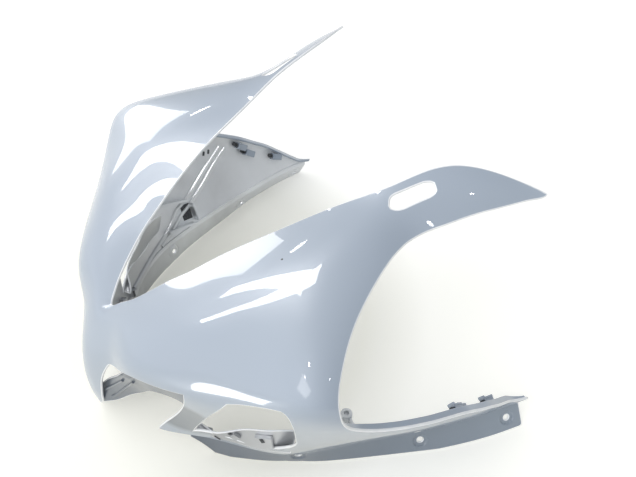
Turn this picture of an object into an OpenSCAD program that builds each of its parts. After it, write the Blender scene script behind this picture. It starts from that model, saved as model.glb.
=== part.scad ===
// Upper front fairing of a sport motorcycle: one injection moulding with a nose column,
// two headlight openings, two screen arms, two side bars and a fastening flange below.
// Millimetres, +Z up, the nose points to -Y, the middle plane is X = 0.

/* [Overall size] */
// Length from the nose column to the arm tips
shell_len = 430; // [380:5:520]
// Width across the widest part of the two side bars
shell_w = 530; // [460:5:640]
// Height from the floor to the top of the arms
shell_h = 290; // [250:5:350]

/* [Wall] */
// Thickness of the moulded skin
wall = 3; // [2.4:0.1:4]

/* [Nose column] */
// Half width of the column between the two headlight openings
column_half = 14; // [10:0.5:18]

/* [Fastening flange] */
// How far the flange is set in behind the lower edge of the skin
joggle = 3; // [2:0.25:4.5]
// How far the flange leans outwards at its rear end
flange_flare = 13; // [8:1:17]
// Diameter of the holes for the side panel screws
screw_hole_d = 8.5; // [6:0.5:10]
// Diameter of the round recess around each hole
recess_d = 16; // [14:0.5:18]
// Depth of the recess below the outer face of the flange
recess_depth = 1.5; // [1:0.25:2]
// Thickness of the pad that holds each screw
pad_t = 3.5; // [3:0.25:5]

/* [Returned edges] */
// Width of the lip turned inwards along the top of each side bar
bar_lip = 9; // [6:0.5:12]
// Width of the shelf behind the lower edge of each headlight opening
lamp_shelf = 22; // [16:1:28]

/* [Mirror slot] */
// Length of the slot for the mirror stay
slot_len = 46; // [36:1:52]
// Width of the slot
slot_w = 15; // [11:0.5:18]
// Slant of the slot ends, along the slot
slot_slant = 7; // [4:0.5:9]

/* [Hidden] */
paint = [0.70, 0.74, 0.80];
$fn = 32;

// The lines below are drawn for a shell of this size, nose at the origin, and scaled to the sizes above
draft_len = 430;
draft_w = 530;
draft_h = 290;
draft_mid_y = 209;
k = [shell_w / draft_w, shell_len / draft_len, shell_h / draft_h];
function at(p) = [p.x * k.x, p.y * k.y, p.z * k.z];

// Ribs of the right half, from the nose to the arm tip. Each runs from the screen edge over
// the crown to the brow or bulge, and then down the side to the fold above the flange
ribs = [
    [[0, 40, 145], [0, 29, 141], [0, 19, 130], [0, 9, 114], [0, 0, 92], [0, -5, 62], [0, -5, 30], [0, 0, 0]],
    [[10, 48, 153], [20, 38, 151], [31, 29, 143], [41, 21, 126], [46, 18, 103], [45, 19, 72], [42, 20, 40], [40, 21, 12]],
    [[22, 62, 164], [39, 51, 165], [57, 41, 161], [74, 32, 149], [83, 29, 130], [82, 33, 96], [81, 38, 60], [80, 42, 24]],
    [[38, 90, 186], [66, 80, 189], [95, 70, 186], [121, 63, 170], [139, 62, 146], [133, 66, 108], [123, 71, 67], [112, 75, 27]],
    [[50, 115, 201], [86, 105, 206], [124, 97, 203], [159, 92, 187], [182, 92, 161], [173, 94, 120], [155, 97, 74], [135, 98, 28]],
    [[62, 145, 219], [106, 134, 224], [150, 126, 219], [196, 121, 203], [226, 121, 182], [210, 123, 130], [187, 126, 77], [165, 129, 27]],
    [[80, 192, 241], [122, 182, 246], [167, 172, 240], [218, 163, 224], [255, 160, 192], [244, 161, 143], [216, 165, 82], [188, 170, 26]],
    [[98, 250, 262], [132, 250, 262], [165, 250, 252], [210, 245, 222], [262, 240, 158], [258, 239, 108], [234, 238, 66], [210, 238, 28]],
    [[115, 300, 278], [138, 300, 269], [165, 300, 250], [210, 300, 212], [257, 300, 145], [261, 300, 92], [246, 300, 58], [228, 300, 28]],
    [[131, 358, 289], [153, 358, 277], [176, 358, 256], [214, 358, 210], [252, 358, 125], [256, 358, 68], [249, 358, 46], [241, 358, 28]],
    [[169, 407, 276], [180, 407, 268], [195, 407, 250], [220, 407, 205], [242, 407, 140], [250, 407, 72], [249, 407, 45], [247, 407, 26]],
    [[187, 424, 267], [195, 424, 258], [208, 424, 238], [226, 424, 195], [243, 424, 135], [250, 424, 72], [249, 424, 45], [248, 424, 26]],
];
last_rib = len(ribs) - 1;
last_row = len(ribs[0]) - 1;

// Edge of the rear cut-out, from the arm tip round its corner and back along the side bar
cutout_edge = [
    [187, 424, 267], [184, 407, 264], [176, 378, 262], [165, 342, 257], [160, 308, 254], [163, 278, 250],
    [176, 250, 247], [190, 229, 242], [206, 204, 234], [218, 190, 228], [231, 176, 219], [245, 163, 208],
    [254, 157, 198], [257, 156, 187], [257, 160, 175], [257, 168, 163], [258, 180, 152], [261, 198, 142],
    [265, 240, 125], [263, 286, 104], [260, 321, 83], [257, 342, 69], [254, 363, 56], [251, 380, 45], [247, 405, 27],
];
bar_edge_from = 13;

// Outline of the inner opening in front view, from the column along the brow to the strut
inner_brow = [[30, 96], [46, 106], [64, 120], [83, 130], [109, 138], [141, 147]];
column_corner_z = 84;
strut_foot = 81;
// Outline of the outer opening, along the brow, round the rear corner and back along the lip
outer_brow = [[178, 160], [200, 174], [224, 185]];
rear_corner = [[231, 183], [232, 171], [227, 149], [211, 108], [198, 76], [186, 58]];
lamp_lip = [[172, 50], [158, 48], [143, 48], [121, 46], [112, 40]];

// Where the flange runs, as stations of the skin, and how far it leans out along the way
flange_from = 2.8;
flange_full = 3.4;
flange_to = 9.7;
flange_lean = [[0, 0], [4, 0.1], [5, -0.1], [5.6, -0.2], [6.2, 0.15], [7, 0.45], [8, 0.85], [9, 1], [10, 1.05]];
screw_stations = [5.72, 7.68, 9.38];
screw_height = 13;

// Arc of the duct wall between the column and the brow, upper and lower edge
duct_top = [[15, 7, 58], [38, 19, 90], [60, 22, 114], [83, 30, 131], [110, 46, 139], [139, 63, 147]];
duct_low = [[13, 6, 4], [32, 20, 32], [52, 24, 62], [76, 34, 92], [104, 46, 118], [136, 66, 138]];

// Stations and rows of the clips on the inner face of each side bar
bar_clips = [[7.75, 5.2], [7.95, 5.6], [8.75, 5.6]];
clip_size = [14, 7, 9];
// Station and row of the round boss beside the corner of the rear cut-out
corner_boss = [6.25, 5.05];
corner_boss_r = 5;
corner_boss_len = 12;
// Station and row of the deep box that carries the lamp bracket
bracket_box = [6.3, 6.3];
bracket_box_size = [16, 15, 13];
// Stations of the upright ribs inside the lower side, and the height of each
side_ribs = [5.75, 6.9];
side_rib_h = 7;
// Stations of the plates under the screen edge, with their width and depth
screen_plates = [3.4, 6.6];
plate_size = [24, 2.4, 18];

// Spline through equally spaced points, straight at both ends
function bend_ratio(n) = [for (i = 0, c = 1 / 4; i < n - 2; i = i + 1, c = 1 / (4 - c)) c];
function bend_forward(r, c) = [for (i = 0, d = r[0] / 4; i < len(r); i = i + 1, d = i < len(r) ? (r[i] - d) * c[i] : d) d];
function bend_back(d, c) = [
    for (i = len(d) - 1, m = d[len(d) - 1]; i >= 0; i = i - 1, m = i >= 0 ? d[i] - m * c[i] : m) m
];
function bends(y) =
    let (n = len(y), c = bend_ratio(n))
    let (r = [for (i = [1 : n - 2]) 6 * (y[i + 1] - 2 * y[i] + y[i - 1])])
    let (m = bend_back(bend_forward(r, c), c))
    [0 * y[0], for (i = [n - 3 : -1 : 0]) m[i], 0 * y[0]];
function spline(y, m, x) =
    let (i = min(max(floor(x), 0), len(y) - 2), u = x - i, a = 1 - u)
    a * y[i] + u * y[i + 1] + ((a ^ 3 - a) * m[i] + (u ^ 3 - u) * m[i + 1]) / 6;

// The skin: station t runs from -last_rib (left arm) to last_rib (right arm), row v from 0 to last_row
function mirrored(p) = [-p.x, p.y, p.z];
all_ribs = [
    for (i = [last_rib : -1 : 1]) [for (p = ribs[i]) at(mirrored(p))],
    for (rib = ribs) [for (p = rib) at(p)],
];
rows = [for (j = [0 : last_row]) [for (rib = all_ribs) rib[j]]];
row_bends = [for (row = rows) bends(row)];
function rib_at(t) = [for (j = [0 : last_row]) spline(rows[j], row_bends[j], t + last_rib)];
function skin(t, v) = let (rib = rib_at(t)) spline(rib, bends(rib), v);

function unit(a) = a / norm(a);
// Outward direction of the skin at a station and row
probe = 0.05;
function outward(t, v) = unit(cross(
    skin(t, min(v + probe, last_row)) - skin(t, max(v - probe, 0)),
    skin(min(t + probe, last_rib), v) - skin(max(t - probe, -last_rib), v)
));

steps_per_rib = 3;
steps_per_row = 3;
stations = [for (i = [-last_rib * steps_per_rib : last_rib * steps_per_rib]) i / steps_per_rib];
row_steps = [for (j = [0 : last_row * steps_per_row]) j / steps_per_row];

// A closed solid between two equal grids of points, the first one outside
module between(outer, inner) {
    a = len(outer);
    b = len(outer[0]);
    points = [for (row = inner) each row, for (row = outer) each row];
    function o(i, j) = i * b + j;
    function n(i, j) = a * b + i * b + j;
    faces = [
        for (i = [0 : a - 2], j = [0 : b - 2]) each [
            [o(i, j), o(i, j + 1), o(i + 1, j + 1)], [o(i, j), o(i + 1, j + 1), o(i + 1, j)],
            [n(i, j), n(i + 1, j + 1), n(i, j + 1)], [n(i, j), n(i + 1, j), n(i + 1, j + 1)],
        ],
        for (i = [0 : a - 2]) each [
            [o(i, 0), o(i + 1, 0), n(i + 1, 0)], [o(i, 0), n(i + 1, 0), n(i, 0)],
            [o(i, b - 1), n(i + 1, b - 1), o(i + 1, b - 1)], [o(i, b - 1), n(i, b - 1), n(i + 1, b - 1)],
        ],
        for (j = [0 : b - 2]) each [
            [o(0, j), n(0, j + 1), o(0, j + 1)], [o(0, j), n(0, j), n(0, j + 1)],
            [o(a - 1, j), o(a - 1, j + 1), n(a - 1, j + 1)], [o(a - 1, j), n(a - 1, j + 1), n(a - 1, j)],
        ],
    ];
    polyhedron(points, faces);
}

module skin_blank() {
    outer = [for (t = stations) [for (v = row_steps) skin(t, v)]];
    inner = [for (t = stations) [for (v = row_steps) skin(t, v) - wall * outward(t, v)]];
    between(outer, inner);
}

module both() {
    children();
    mirror([1, 0, 0]) children();
}

// Cuts the rear cut-out in side view
module cutout_cut() {
    far = 60;
    side = [for (p = cutout_edge) [at(p).y, at(p).z]];
    rear = side[0].x + far;
    rotate([90, 0, 90])
        translate([0, 0, 110 * k.x])
            linear_extrude(height = shell_w)
                polygon([each side, [side[len(side) - 1].x, -far], [rear, -far], [rear, side[0].y]]);
}

function front(p) = [p.x * k.x, p.y * k.z];
module front_cut(outline) {
    rotate([90, 0, 0])
        translate([0, 0, -170 * k.y])
            linear_extrude(height = 230 * k.y)
                polygon(outline);
}

// Cuts the two headlight openings in front view, leaving the column and the slanted strut
module lamp_cuts() {
    below = -20;
    front_cut([
        [column_half, below], [column_half, 62 * k.z], [column_half + 4, column_corner_z * k.z],
        for (p = inner_brow) front(p), [strut_foot * k.x, 26 * k.z], [strut_foot * k.x - 2, below],
    ]);
    front_cut([for (p = concat(outer_brow, rear_corner, lamp_lip)) front(p)]);
}

// Stands a shape on the skin at a station and row, its X along the skin to the rear and its Z outwards
module on_skin(t, v) {
    n = outward(t, v);
    d = unit(skin(t + probe, v) - skin(t - probe, v));
    x = unit(d - n * (d * n));
    y = cross(n, x);
    p = skin(t, v);
    multmatrix([[x.x, y.x, n.x, p.x], [x.y, y.y, n.y, p.y], [x.z, y.z, n.z, p.z]]) children();
}

// The mirror slot, a slanted slot with rounded corners through the arm
slot_at = [8.1, 0.72];
module slot_cut() {
    r = 4;
    on_skin(slot_at[0], slot_at[1])
        translate([0, 0, -4 * wall])
            linear_extrude(height = 8 * wall)
                hull()
                    for (x = [-1, 1], y = [-1, 1])
                        translate([x * (slot_len / 2 - r) + y * slot_slant / 2, y * (slot_w / 2 - r)])
                            circle(r);
}

// The flange, joggled in behind the lower edge of the skin and leaning out towards its rear end
function fold_out(t) =
    let (d = skin(t + probe, last_row) - skin(t - probe, last_row))
    unit([d.y, -d.x, 0]);
function lean(t) = flange_flare * lookup(t, flange_lean) + (t < 5 ? joggle * 0.5 : 0);
function flange_depth(t) = min(max((t - flange_from) / (flange_full - flange_from), 0.15), 1);
function flange_point(t, out, up) = skin(t, last_row) + out * fold_out(t) + [0, 0, up];
function flange_foot(t, out) =
    let (f = skin(t, last_row))
    flange_point(t, out + lean(t), -f.z * flange_depth(t));
seam = 0.4;
module flange() {
    ts = [for (i = [0 : 23]) flange_from + (flange_to - flange_from) * i / 23];
    outer = [for (t = ts) [
        flange_point(t, -seam, wall), flange_point(t, -seam, -seam),
        flange_point(t, -joggle, -wall), flange_foot(t, -joggle),
    ]];
    inner = [for (t = ts) [
        flange_point(t, -seam - wall, wall), flange_point(t, -joggle - wall, -seam),
        flange_point(t, -joggle - wall, -wall), flange_foot(t, -joggle - wall),
    ]];
    between(outer, inner);
}

// Frame of a screw hole: the outer face of the flange, with Z pointing out of it
module on_flange(t) {
    f = skin(t, last_row);
    share = screw_height / (f.z - wall);
    p = flange_point(t, -joggle, -wall) * share + flange_foot(t, -joggle) * (1 - share);
    down = unit(flange_foot(t, -joggle) - flange_point(t, -joggle, -wall));
    x = unit(cross(down, fold_out(t)));
    n = cross(x, down);
    multmatrix([[x.x, -down.x, -n.x, p.x], [x.y, -down.y, -n.y, p.y], [x.z, -down.z, -n.z, p.z]])
        children();
}

// Lip turned inwards along the top of the side bar
module lip_of_bar() {
    edge = [for (i = [bar_edge_from : len(cutout_edge) - 1]) at(cutout_edge[i])];
    last = len(edge) - 1;
    function run(i) = unit(edge[min(i + 1, last)] - edge[max(i - 1, 0)]);
    function inward(i) = let (d = run(i), w = [-1, 0, 0]) unit(w - d * (d * w));
    function under(i) = cross(inward(i), run(i));
    near = [for (i = [0 : last]) [edge[i] + seam * inward(i), edge[i] + bar_lip * inward(i)]];
    low = [for (i = [0 : last]) [for (p = near[i]) p + wall * 0.85 * under(i)]];
    between(low, near);
}

// Shelf turned inwards behind the lip of the outer headlight opening
module shelf_of_lamp() {
    ts = [for (i = [0 : 10]) 2.95 + 2.45 * i / 10];
    row = 6.62;
    top = [for (t = ts) [
        skin(t, row) - seam * fold_out(t),
        skin(t, row) - (wall + lamp_shelf) * fold_out(t) - [0, 0, 6],
    ]];
    low = [for (line = top) [for (p = line) p - [0, 0, wall * 0.85]]];
    between(low, top);
}

// Curved wall of the air duct, between the column and the brow
module duct_wall() {
    front_face = [for (i = [0 : len(duct_top) - 1]) [at(duct_top[i]), at(duct_low[i])]];
    back = [for (line = front_face) [for (p = line) p + [0, wall, 0]]];
    between(front_face, back);
}

module fairing_shell() {
    color(paint)
        translate([0, -draft_mid_y * k.y, 0])
            difference() {
                union() {
                    difference() {
                        skin_blank();
                        both() {
                            cutout_cut();
                            lamp_cuts();
                            slot_cut();
                        }
                    }
                    both() {
                        flange();
                        lip_of_bar();
                        shelf_of_lamp();
                        duct_wall();
                        for (t = screw_stations)
                            on_flange(t) translate([0, 0, recess_depth]) cylinder(h = pad_t, d = recess_d + 4);
                    }
                }
                both()
                    for (t = screw_stations)
                        on_flange(t) {
                            translate([0, 0, -recess_d]) cylinder(h = recess_d + recess_depth, d = recess_d);
                            translate([0, 0, -recess_d]) cylinder(h = 2 * recess_d, d = screw_hole_d);
                        }
            }
}

fairing_shell();
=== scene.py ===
"""Looks of a motorcycle front fairing: one thin moulding, glossy outside and bare inside.

The shell is drawn as one smooth sheet, trimmed in its own two coordinates and given a wall, a
rounded rim and a bare inner face. The flange, lips, shelves, duct walls and clips are sheets and
small mouldings that are placed on it. Everything is in metres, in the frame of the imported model.
"""

from __future__ import annotations

import logging
import math
from dataclasses import dataclass, field
from enum import Enum, IntEnum
from typing import Callable, Sequence

import bmesh
import bpy
import numpy as np
from mathutils import Matrix, Vector
from mathutils.geometry import delaunay_2d_cdt

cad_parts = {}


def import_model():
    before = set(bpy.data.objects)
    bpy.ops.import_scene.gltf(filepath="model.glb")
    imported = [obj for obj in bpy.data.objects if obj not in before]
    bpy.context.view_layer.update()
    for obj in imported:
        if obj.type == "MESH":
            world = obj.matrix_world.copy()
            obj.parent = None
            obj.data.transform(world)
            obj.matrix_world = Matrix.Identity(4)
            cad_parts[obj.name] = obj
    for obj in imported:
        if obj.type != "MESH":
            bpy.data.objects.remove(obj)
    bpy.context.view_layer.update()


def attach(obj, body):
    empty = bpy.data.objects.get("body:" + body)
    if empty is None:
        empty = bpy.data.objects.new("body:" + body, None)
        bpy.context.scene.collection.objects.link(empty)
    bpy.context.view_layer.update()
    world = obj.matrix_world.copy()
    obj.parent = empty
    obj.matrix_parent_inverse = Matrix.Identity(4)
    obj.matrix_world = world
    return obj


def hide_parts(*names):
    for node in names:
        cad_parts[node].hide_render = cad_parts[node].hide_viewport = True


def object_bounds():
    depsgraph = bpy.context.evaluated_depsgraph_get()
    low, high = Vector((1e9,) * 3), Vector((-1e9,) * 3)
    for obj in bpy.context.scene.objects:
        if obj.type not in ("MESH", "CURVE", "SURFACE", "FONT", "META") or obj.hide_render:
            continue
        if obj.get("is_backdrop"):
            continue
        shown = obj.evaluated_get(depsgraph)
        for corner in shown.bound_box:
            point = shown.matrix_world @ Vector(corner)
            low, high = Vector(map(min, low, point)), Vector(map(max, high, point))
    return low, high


log = logging.getLogger("fairing")

MM = 0.001
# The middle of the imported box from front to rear, in drawing millimetres
MIDDLE_Y = 209.0
BODY = "root"
CAD_NODE = "fairing_shell"

Grid = np.ndarray
Pair = tuple[float, float]
Triple = tuple[float, float, float]

UP = np.array([0.0, 0.0, 1.0])
MIRROR = np.array([-1.0, 1.0, 1.0])
MIRROR_TURN = Matrix.Diagonal((-1.0, 1.0, 1.0, 1.0))
# What puts a fitting of the right side on each side
SIDES = (Matrix.Identity(4), MIRROR_TURN)
# Steps in sheet coordinates: a short one for normals, a longer one for directions along a sheet
PROBE = 2e-3
REACH = 0.05
# Points nearer than this to the middle plane, in metres, are shared by both halves
ON_PLANE = 2e-6
# Millimetres for one station and one row of the skin
SKIN_STRETCH = (46.0, 27.0)


def to_frame(points: Grid) -> Grid:
    """Moves drawing points to the row frame.

    Args:
        points: Points in millimetres, with the nose at the origin.

    Returns:
        The same points in metres, with the box centre at the origin.
    """
    return (np.asarray(points, float) - np.array([0.0, MIDDLE_Y, 0.0])) * MM


def unit(vectors: Grid) -> Grid:
    """Scales vectors to length one.

    Args:
        vectors: Array whose last axis holds x, y and z.

    Returns:
        The unit vectors.
    """
    size = np.linalg.norm(vectors, axis=-1, keepdims=True)
    return vectors / np.maximum(size, 1e-12)


def smoothstep(low: float, high: float, x: Grid) -> Grid:
    """Rises smoothly from 0 at low to 1 at high.

    Args:
        low: Where the rise starts.
        high: Where the rise ends.
        x: Values to map.

    Returns:
        Values from 0 to 1.
    """
    u = np.clip((np.asarray(x, float) - low) / (high - low), 0.0, 1.0)
    return u * u * (3.0 - 2.0 * u)


def bend_matrix(count: int) -> Grid:
    """Matrix that turns equally spaced values into a natural spline's second derivatives.

    Args:
        count: How many values the spline passes through.

    Returns:
        A square matrix.
    """
    left = np.eye(count)
    right = np.zeros((count, count))
    for i in range(1, count - 1):
        left[i, i - 1 : i + 2] = (1.0, 4.0, 1.0)
        right[i, i - 1 : i + 2] = (6.0, -12.0, 6.0)
    return np.linalg.solve(left, right)


def natural_spline(values: Grid, x: Grid) -> Grid:
    """Evaluates a natural spline through equally spaced values.

    Args:
        values: Array (count, ...) of the values at 0, 1, 2 and so on.
        x: Places to evaluate.

    Returns:
        Array (len(x), ...).
    """
    x = np.atleast_1d(np.asarray(x, float))
    bends = np.tensordot(bend_matrix(len(values)), values, axes=(1, 0))
    i = np.clip(np.floor(x).astype(int), 0, len(values) - 2)
    u = (x - i).reshape((-1,) + (1,) * (values.ndim - 1))
    a = 1.0 - u
    return a * values[i] + u * values[i + 1] + ((a**3 - a) * bends[i] + (u**3 - u) * bends[i + 1]) / 6.0


def surface_normal(point: Callable[[Grid, Grid], Grid], a: Grid, b: Grid) -> Grid:
    """Gives the outward unit normals of a surface.

    Args:
        point: Gives points of the surface from its two coordinates.
        a: First coordinates.
        b: Second coordinates.

    Returns:
        Unit vectors, one row each.
    """
    along = point(a + PROBE, b) - point(a - PROBE, b)
    down = point(a, b + PROBE) - point(a, b - PROBE)
    return unit(np.cross(down, along))


class Sheet:
    """A smooth surface with two coordinates."""

    def point(self, a: Grid, b: Grid) -> Grid:
        """Gives points of the sheet.

        Args:
            a: First coordinates.
            b: Second coordinates.

        Returns:
            Points in metres, one row each.
        """
        raise NotImplementedError

    def normal(self, a: Grid, b: Grid) -> Grid:
        """Gives outward unit normals of the sheet.

        Args:
            a: First coordinates.
            b: Second coordinates.

        Returns:
            Unit vectors, one row each.
        """
        return surface_normal(self.point, a, b)

    def place(self, a: float, b: float, sink_mm: float = 0.0, turn: float = 0.0) -> Matrix:
        """Frame on the inner face: X along the sheet to the rear, Z into the hollow.

        Args:
            a: First coordinate.
            b: Second coordinate.
            sink_mm: How far the frame lies inside the outer face.
            turn: Turn about its Z, in degrees.

        Returns:
            The frame as a matrix.
        """
        ta, tb = np.array([a]), np.array([b])
        origin = self.point(ta, tb)[0]
        z = -self.normal(ta, tb)[0]
        run = self.point(ta + REACH, tb)[0] - self.point(ta - REACH, tb)[0]
        x = unit(run - z * np.dot(run, z))
        y = np.cross(z, x)
        frame = Matrix((x, y, z)).transposed().to_4x4()
        frame.translation = Vector(origin + z * sink_mm * MM)
        return frame @ Matrix.Rotation(math.radians(turn), 4, "Z")


# Points of the skin in drawing millimetres, a row for each station, from the screen edge down
RIBS_MM: tuple[tuple[Triple, ...], ...] = (
    ((0, 40, 145), (0, 29, 141), (0, 19, 130), (0, 9, 114), (0, 0, 92), (0, -5, 62), (0, -5, 30), (0, 0, 0)),
    (
        (10, 48, 153), (20, 38, 151), (31, 29, 143), (41, 21, 126), (46, 18, 103), (45, 19, 72),
        (42, 20, 40), (40, 21, 12),
    ),
    (
        (22, 62, 164), (39, 51, 165), (57, 41, 161), (74, 32, 149), (83, 29, 130), (82, 33, 96),
        (81, 38, 60), (80, 42, 24),
    ),
    (
        (38, 90, 186), (66, 80, 189), (95, 70, 186), (121, 63, 170), (139, 62, 146), (133, 66, 108),
        (123, 71, 67), (112, 75, 27),
    ),
    (
        (50, 115, 201), (86, 105, 206), (124, 97, 203), (159, 92, 187), (182, 92, 161), (173, 94, 120),
        (155, 97, 74), (135, 98, 28),
    ),
    (
        (62, 145, 219), (106, 134, 224), (150, 126, 219), (196, 121, 203), (226, 121, 182),
        (210, 123, 130), (187, 126, 77), (165, 129, 27),
    ),
    (
        (80, 192, 241), (122, 182, 246), (167, 172, 240), (218, 163, 224), (255, 160, 192),
        (244, 161, 143), (216, 165, 82), (188, 170, 26),
    ),
    (
        (98, 250, 262), (132, 250, 262), (165, 250, 252), (210, 245, 222), (262, 240, 158),
        (258, 239, 108), (234, 238, 66), (210, 238, 28),
    ),
    (
        (115, 300, 278), (138, 300, 269), (165, 300, 250), (210, 300, 212), (257, 300, 145),
        (261, 300, 92), (246, 300, 58), (228, 300, 28),
    ),
    (
        (131, 358, 289), (153, 358, 277), (176, 358, 256), (214, 358, 210), (252, 358, 125),
        (256, 358, 68), (249, 358, 46), (241, 358, 28),
    ),
    (
        (169, 407, 276), (180, 407, 268), (195, 407, 250), (220, 407, 205), (242, 407, 140),
        (250, 407, 72), (249, 407, 45), (247, 407, 26),
    ),
    (
        (187, 424, 267), (195, 424, 258), (208, 424, 238), (226, 424, 195), (243, 424, 135),
        (250, 424, 72), (249, 424, 45), (248, 424, 26),
    ),
)


@dataclass
class Skin(Sheet):
    """The outer skin. Station a runs from the nose to the arm tip, row b from the screen edge down."""

    ribs_mm: Sequence[Sequence[Triple]] = RIBS_MM

    def __post_init__(self) -> None:
        """Mirrors the ribs to both sides and prepares their bends."""
        half = np.array(self.ribs_mm, float)
        self.last_station = len(half) - 1
        self.last_row = half.shape[1] - 1
        self._ribs = np.concatenate([half[::-1][:-1] * MIRROR, half])
        self._row_bends = bend_matrix(self.last_row + 1)

    def point(self, a: Grid, b: Grid) -> Grid:
        """Gives points of the skin. See Sheet.point."""
        ribs = natural_spline(self._ribs, np.asarray(a, float) + self.last_station)
        b = np.asarray(b, float)
        bends = np.einsum("ij,njk->nik", self._row_bends, ribs)
        i = np.clip(np.floor(b).astype(int), 0, self.last_row - 1)
        u = (b - i)[:, None]
        c = 1.0 - u
        n = np.arange(len(b))
        flat = c * ribs[n, i] + u * ribs[n, i + 1]
        return to_frame(flat + ((c**3 - c) * bends[n, i] + (u**3 - u) * bends[n, i + 1]) / 6.0)


@dataclass
class Ruled(Sheet):
    """A sheet between two guide lines, bowed a little at mid width. Coordinate a counts guide points."""

    first_mm: Sequence[Sequence[float]]
    second_mm: Sequence[Sequence[float]]
    bow_mm: float = 0.0

    def point(self, a: Grid, b: Grid) -> Grid:
        """Gives points between the guides. See Sheet.point."""
        one = natural_spline(to_frame(self.first_mm), a)
        two = natural_spline(to_frame(self.second_mm), a)
        b = np.asarray(b, float)[:, None]
        rise = 4.0 * b * (1.0 - b) * (self.bow_mm * MM)
        return one * (1.0 - b) + two * b + rise * UP


@dataclass(frozen=True)
class ScrewSeat:
    """A sunk round seat with a hole, at a station of the flange and a height above the floor."""

    station: float
    height_mm: float
    hole_mm: float = 8.5
    seat_mm: float = 16.0
    depth_mm: float = 1.5


@dataclass
class FlangeSheet(Sheet):
    """The fastening flange: set in behind the lower edge of the skin, leaning out to the rear."""

    skin: Skin
    seats: Sequence[ScrewSeat]
    lean_stations: Sequence[float] = (0.0, 4.0, 4.5, 5.0, 5.4, 5.8, 6.2, 7.1, 8.0, 9.0, 10.0)
    lean_mm: Sequence[float] = (2.5, 2.5, -0.6, -3.4, -5.0, -4.0, -0.6, 6.4, 12.5, 14.5, 15.5)
    tuck_mm: float = 1.6
    joggle_mm: float = 3.0
    joggle_rows: Pair = (0.02, 0.16)
    start: float = 2.78
    full: float = 3.45
    finish: float = 9.7
    front_depth: float = 0.12
    lean_row: float = 0.12
    most_lean: float = 1.2
    seat_slope_mm: Pair = (1.1, 0.5)
    search_steps: int = 201

    def plain(self, a: Grid, b: Grid) -> Grid:
        """Gives points of the flange before its seats are sunk.

        Args:
            a: Stations of the skin.
            b: Shares of the way down.

        Returns:
            Points in metres, one row each.
        """
        a = np.asarray(a, float)
        b = np.asarray(b, float)
        row = np.full_like(a, self.skin.last_row)
        fold = self.skin.point(a, row)
        run = self.skin.point(a + REACH, row) - self.skin.point(a - REACH, row)
        level = np.zeros(len(a))
        out = unit(np.stack([run[:, 1], -run[:, 0], level], axis=1))
        share = np.clip((a - self.start) / (self.full - self.start), 0.0, 1.0)
        depth = fold[:, 2] * (self.front_depth + (1.0 - self.front_depth) * share)
        lean = np.interp(a, self.lean_stations, self.lean_mm) * MM
        top = self.tuck_mm * MM
        z = top - (top + depth) * b
        joggle = (self.joggle_mm - self.tuck_mm) * smoothstep(*self.joggle_rows, b)
        inset = (self.tuck_mm + joggle) * MM
        leaning = np.clip((b - self.lean_row) / (1.0 - self.lean_row), 0.0, self.most_lean)
        offset = -inset + lean * leaning
        return fold + out * offset[:, None] + np.stack([level, level, z], axis=1)

    def coordinates(self, seat: ScrewSeat) -> Pair:
        """Finds the flange coordinates of a screw seat.

        Args:
            seat: The seat.

        Returns:
            Its two coordinates.
        """
        b = np.linspace(0.0, 1.0, self.search_steps)
        line = self.plain(np.full_like(b, seat.station), b)
        return seat.station, float(b[np.argmin(np.abs(line[:, 2] - seat.height_mm * MM))])

    def point(self, a: Grid, b: Grid) -> Grid:
        """Gives points of the flange with its sunk seats. See Sheet.point."""
        points = self.plain(a, b)
        normal = surface_normal(self.plain, a, b)
        for seat in self.seats:
            sa, sb = self.coordinates(seat)
            centre = self.plain(np.array([sa]), np.array([sb]))[0]
            away = np.linalg.norm(points - centre, axis=1) / MM
            edge = seat.seat_mm / 2.0
            sunk = 1.0 - smoothstep(edge - self.seat_slope_mm[0], edge + self.seat_slope_mm[1], away)
            points = points - normal * (sunk * seat.depth_mm * MM)[:, None]
        return points


@dataclass
class Run:
    """A smooth stretch of an outline, through its points in sheet coordinates."""

    points: Sequence[Pair]
    open_edge: bool = False
    gap_steps: int = 25

    def sample(self, stretch: Pair, step: float) -> Grid:
        """Samples the stretch evenly.

        Args:
            stretch: Millimetres for one unit of each coordinate.
            step: Spacing in millimetres.

        Returns:
            Coordinates along the stretch, without its last point.
        """
        scale = np.array(stretch)
        knots = np.array(self.points, float) * scale
        chord = np.r_[0.0, np.cumsum(np.sqrt(np.linalg.norm(np.diff(knots, axis=0), axis=1)))]
        dense = self._through(knots, chord) if len(knots) > 2 else knots
        length = np.r_[0.0, np.cumsum(np.linalg.norm(np.diff(dense, axis=0), axis=1))]
        count = max(2, int(round(length[-1] / step)) + 1)
        even = np.linspace(0.0, length[-1], count)
        cols = [np.interp(even, length, dense[:, i]) for i in range(2)]
        return (np.stack(cols, axis=1) / scale)[:-1]

    def _through(self, knots: Grid, chord: Grid) -> Grid:
        """Draws a smooth line through knots.

        Args:
            knots: The knots, one row each.
            chord: How far along the line each knot lies.

        Returns:
            Close points of the line.
        """
        gaps = np.diff(chord)
        slopes = np.diff(knots, axis=0) / gaps[:, None]
        both = (gaps[1:] + gaps[:-1])[:, None]
        inner = (slopes[:-1] * gaps[1:, None] + slopes[1:] * gaps[:-1, None]) / both
        first = 1.5 * slopes[0] - 0.5 * inner[0]
        last = 1.5 * slopes[-1] - 0.5 * inner[-1]
        tangents = np.vstack([first, inner, last])
        pieces = []
        for i, gap in enumerate(gaps):
            u = np.linspace(0.0, 1.0, self.gap_steps)[:, None]
            if i < len(gaps) - 1:
                u = u[:-1]
            h = (2 * u**3 - 3 * u**2 + 1, u**3 - 2 * u**2 + u, -2 * u**3 + 3 * u**2, u**3 - u**2)
            pieces.append(
                h[0] * knots[i] + h[1] * gap * tangents[i]
                + h[2] * knots[i + 1] + h[3] * gap * tangents[i + 1]
            )
        return np.vstack(pieces)


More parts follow.
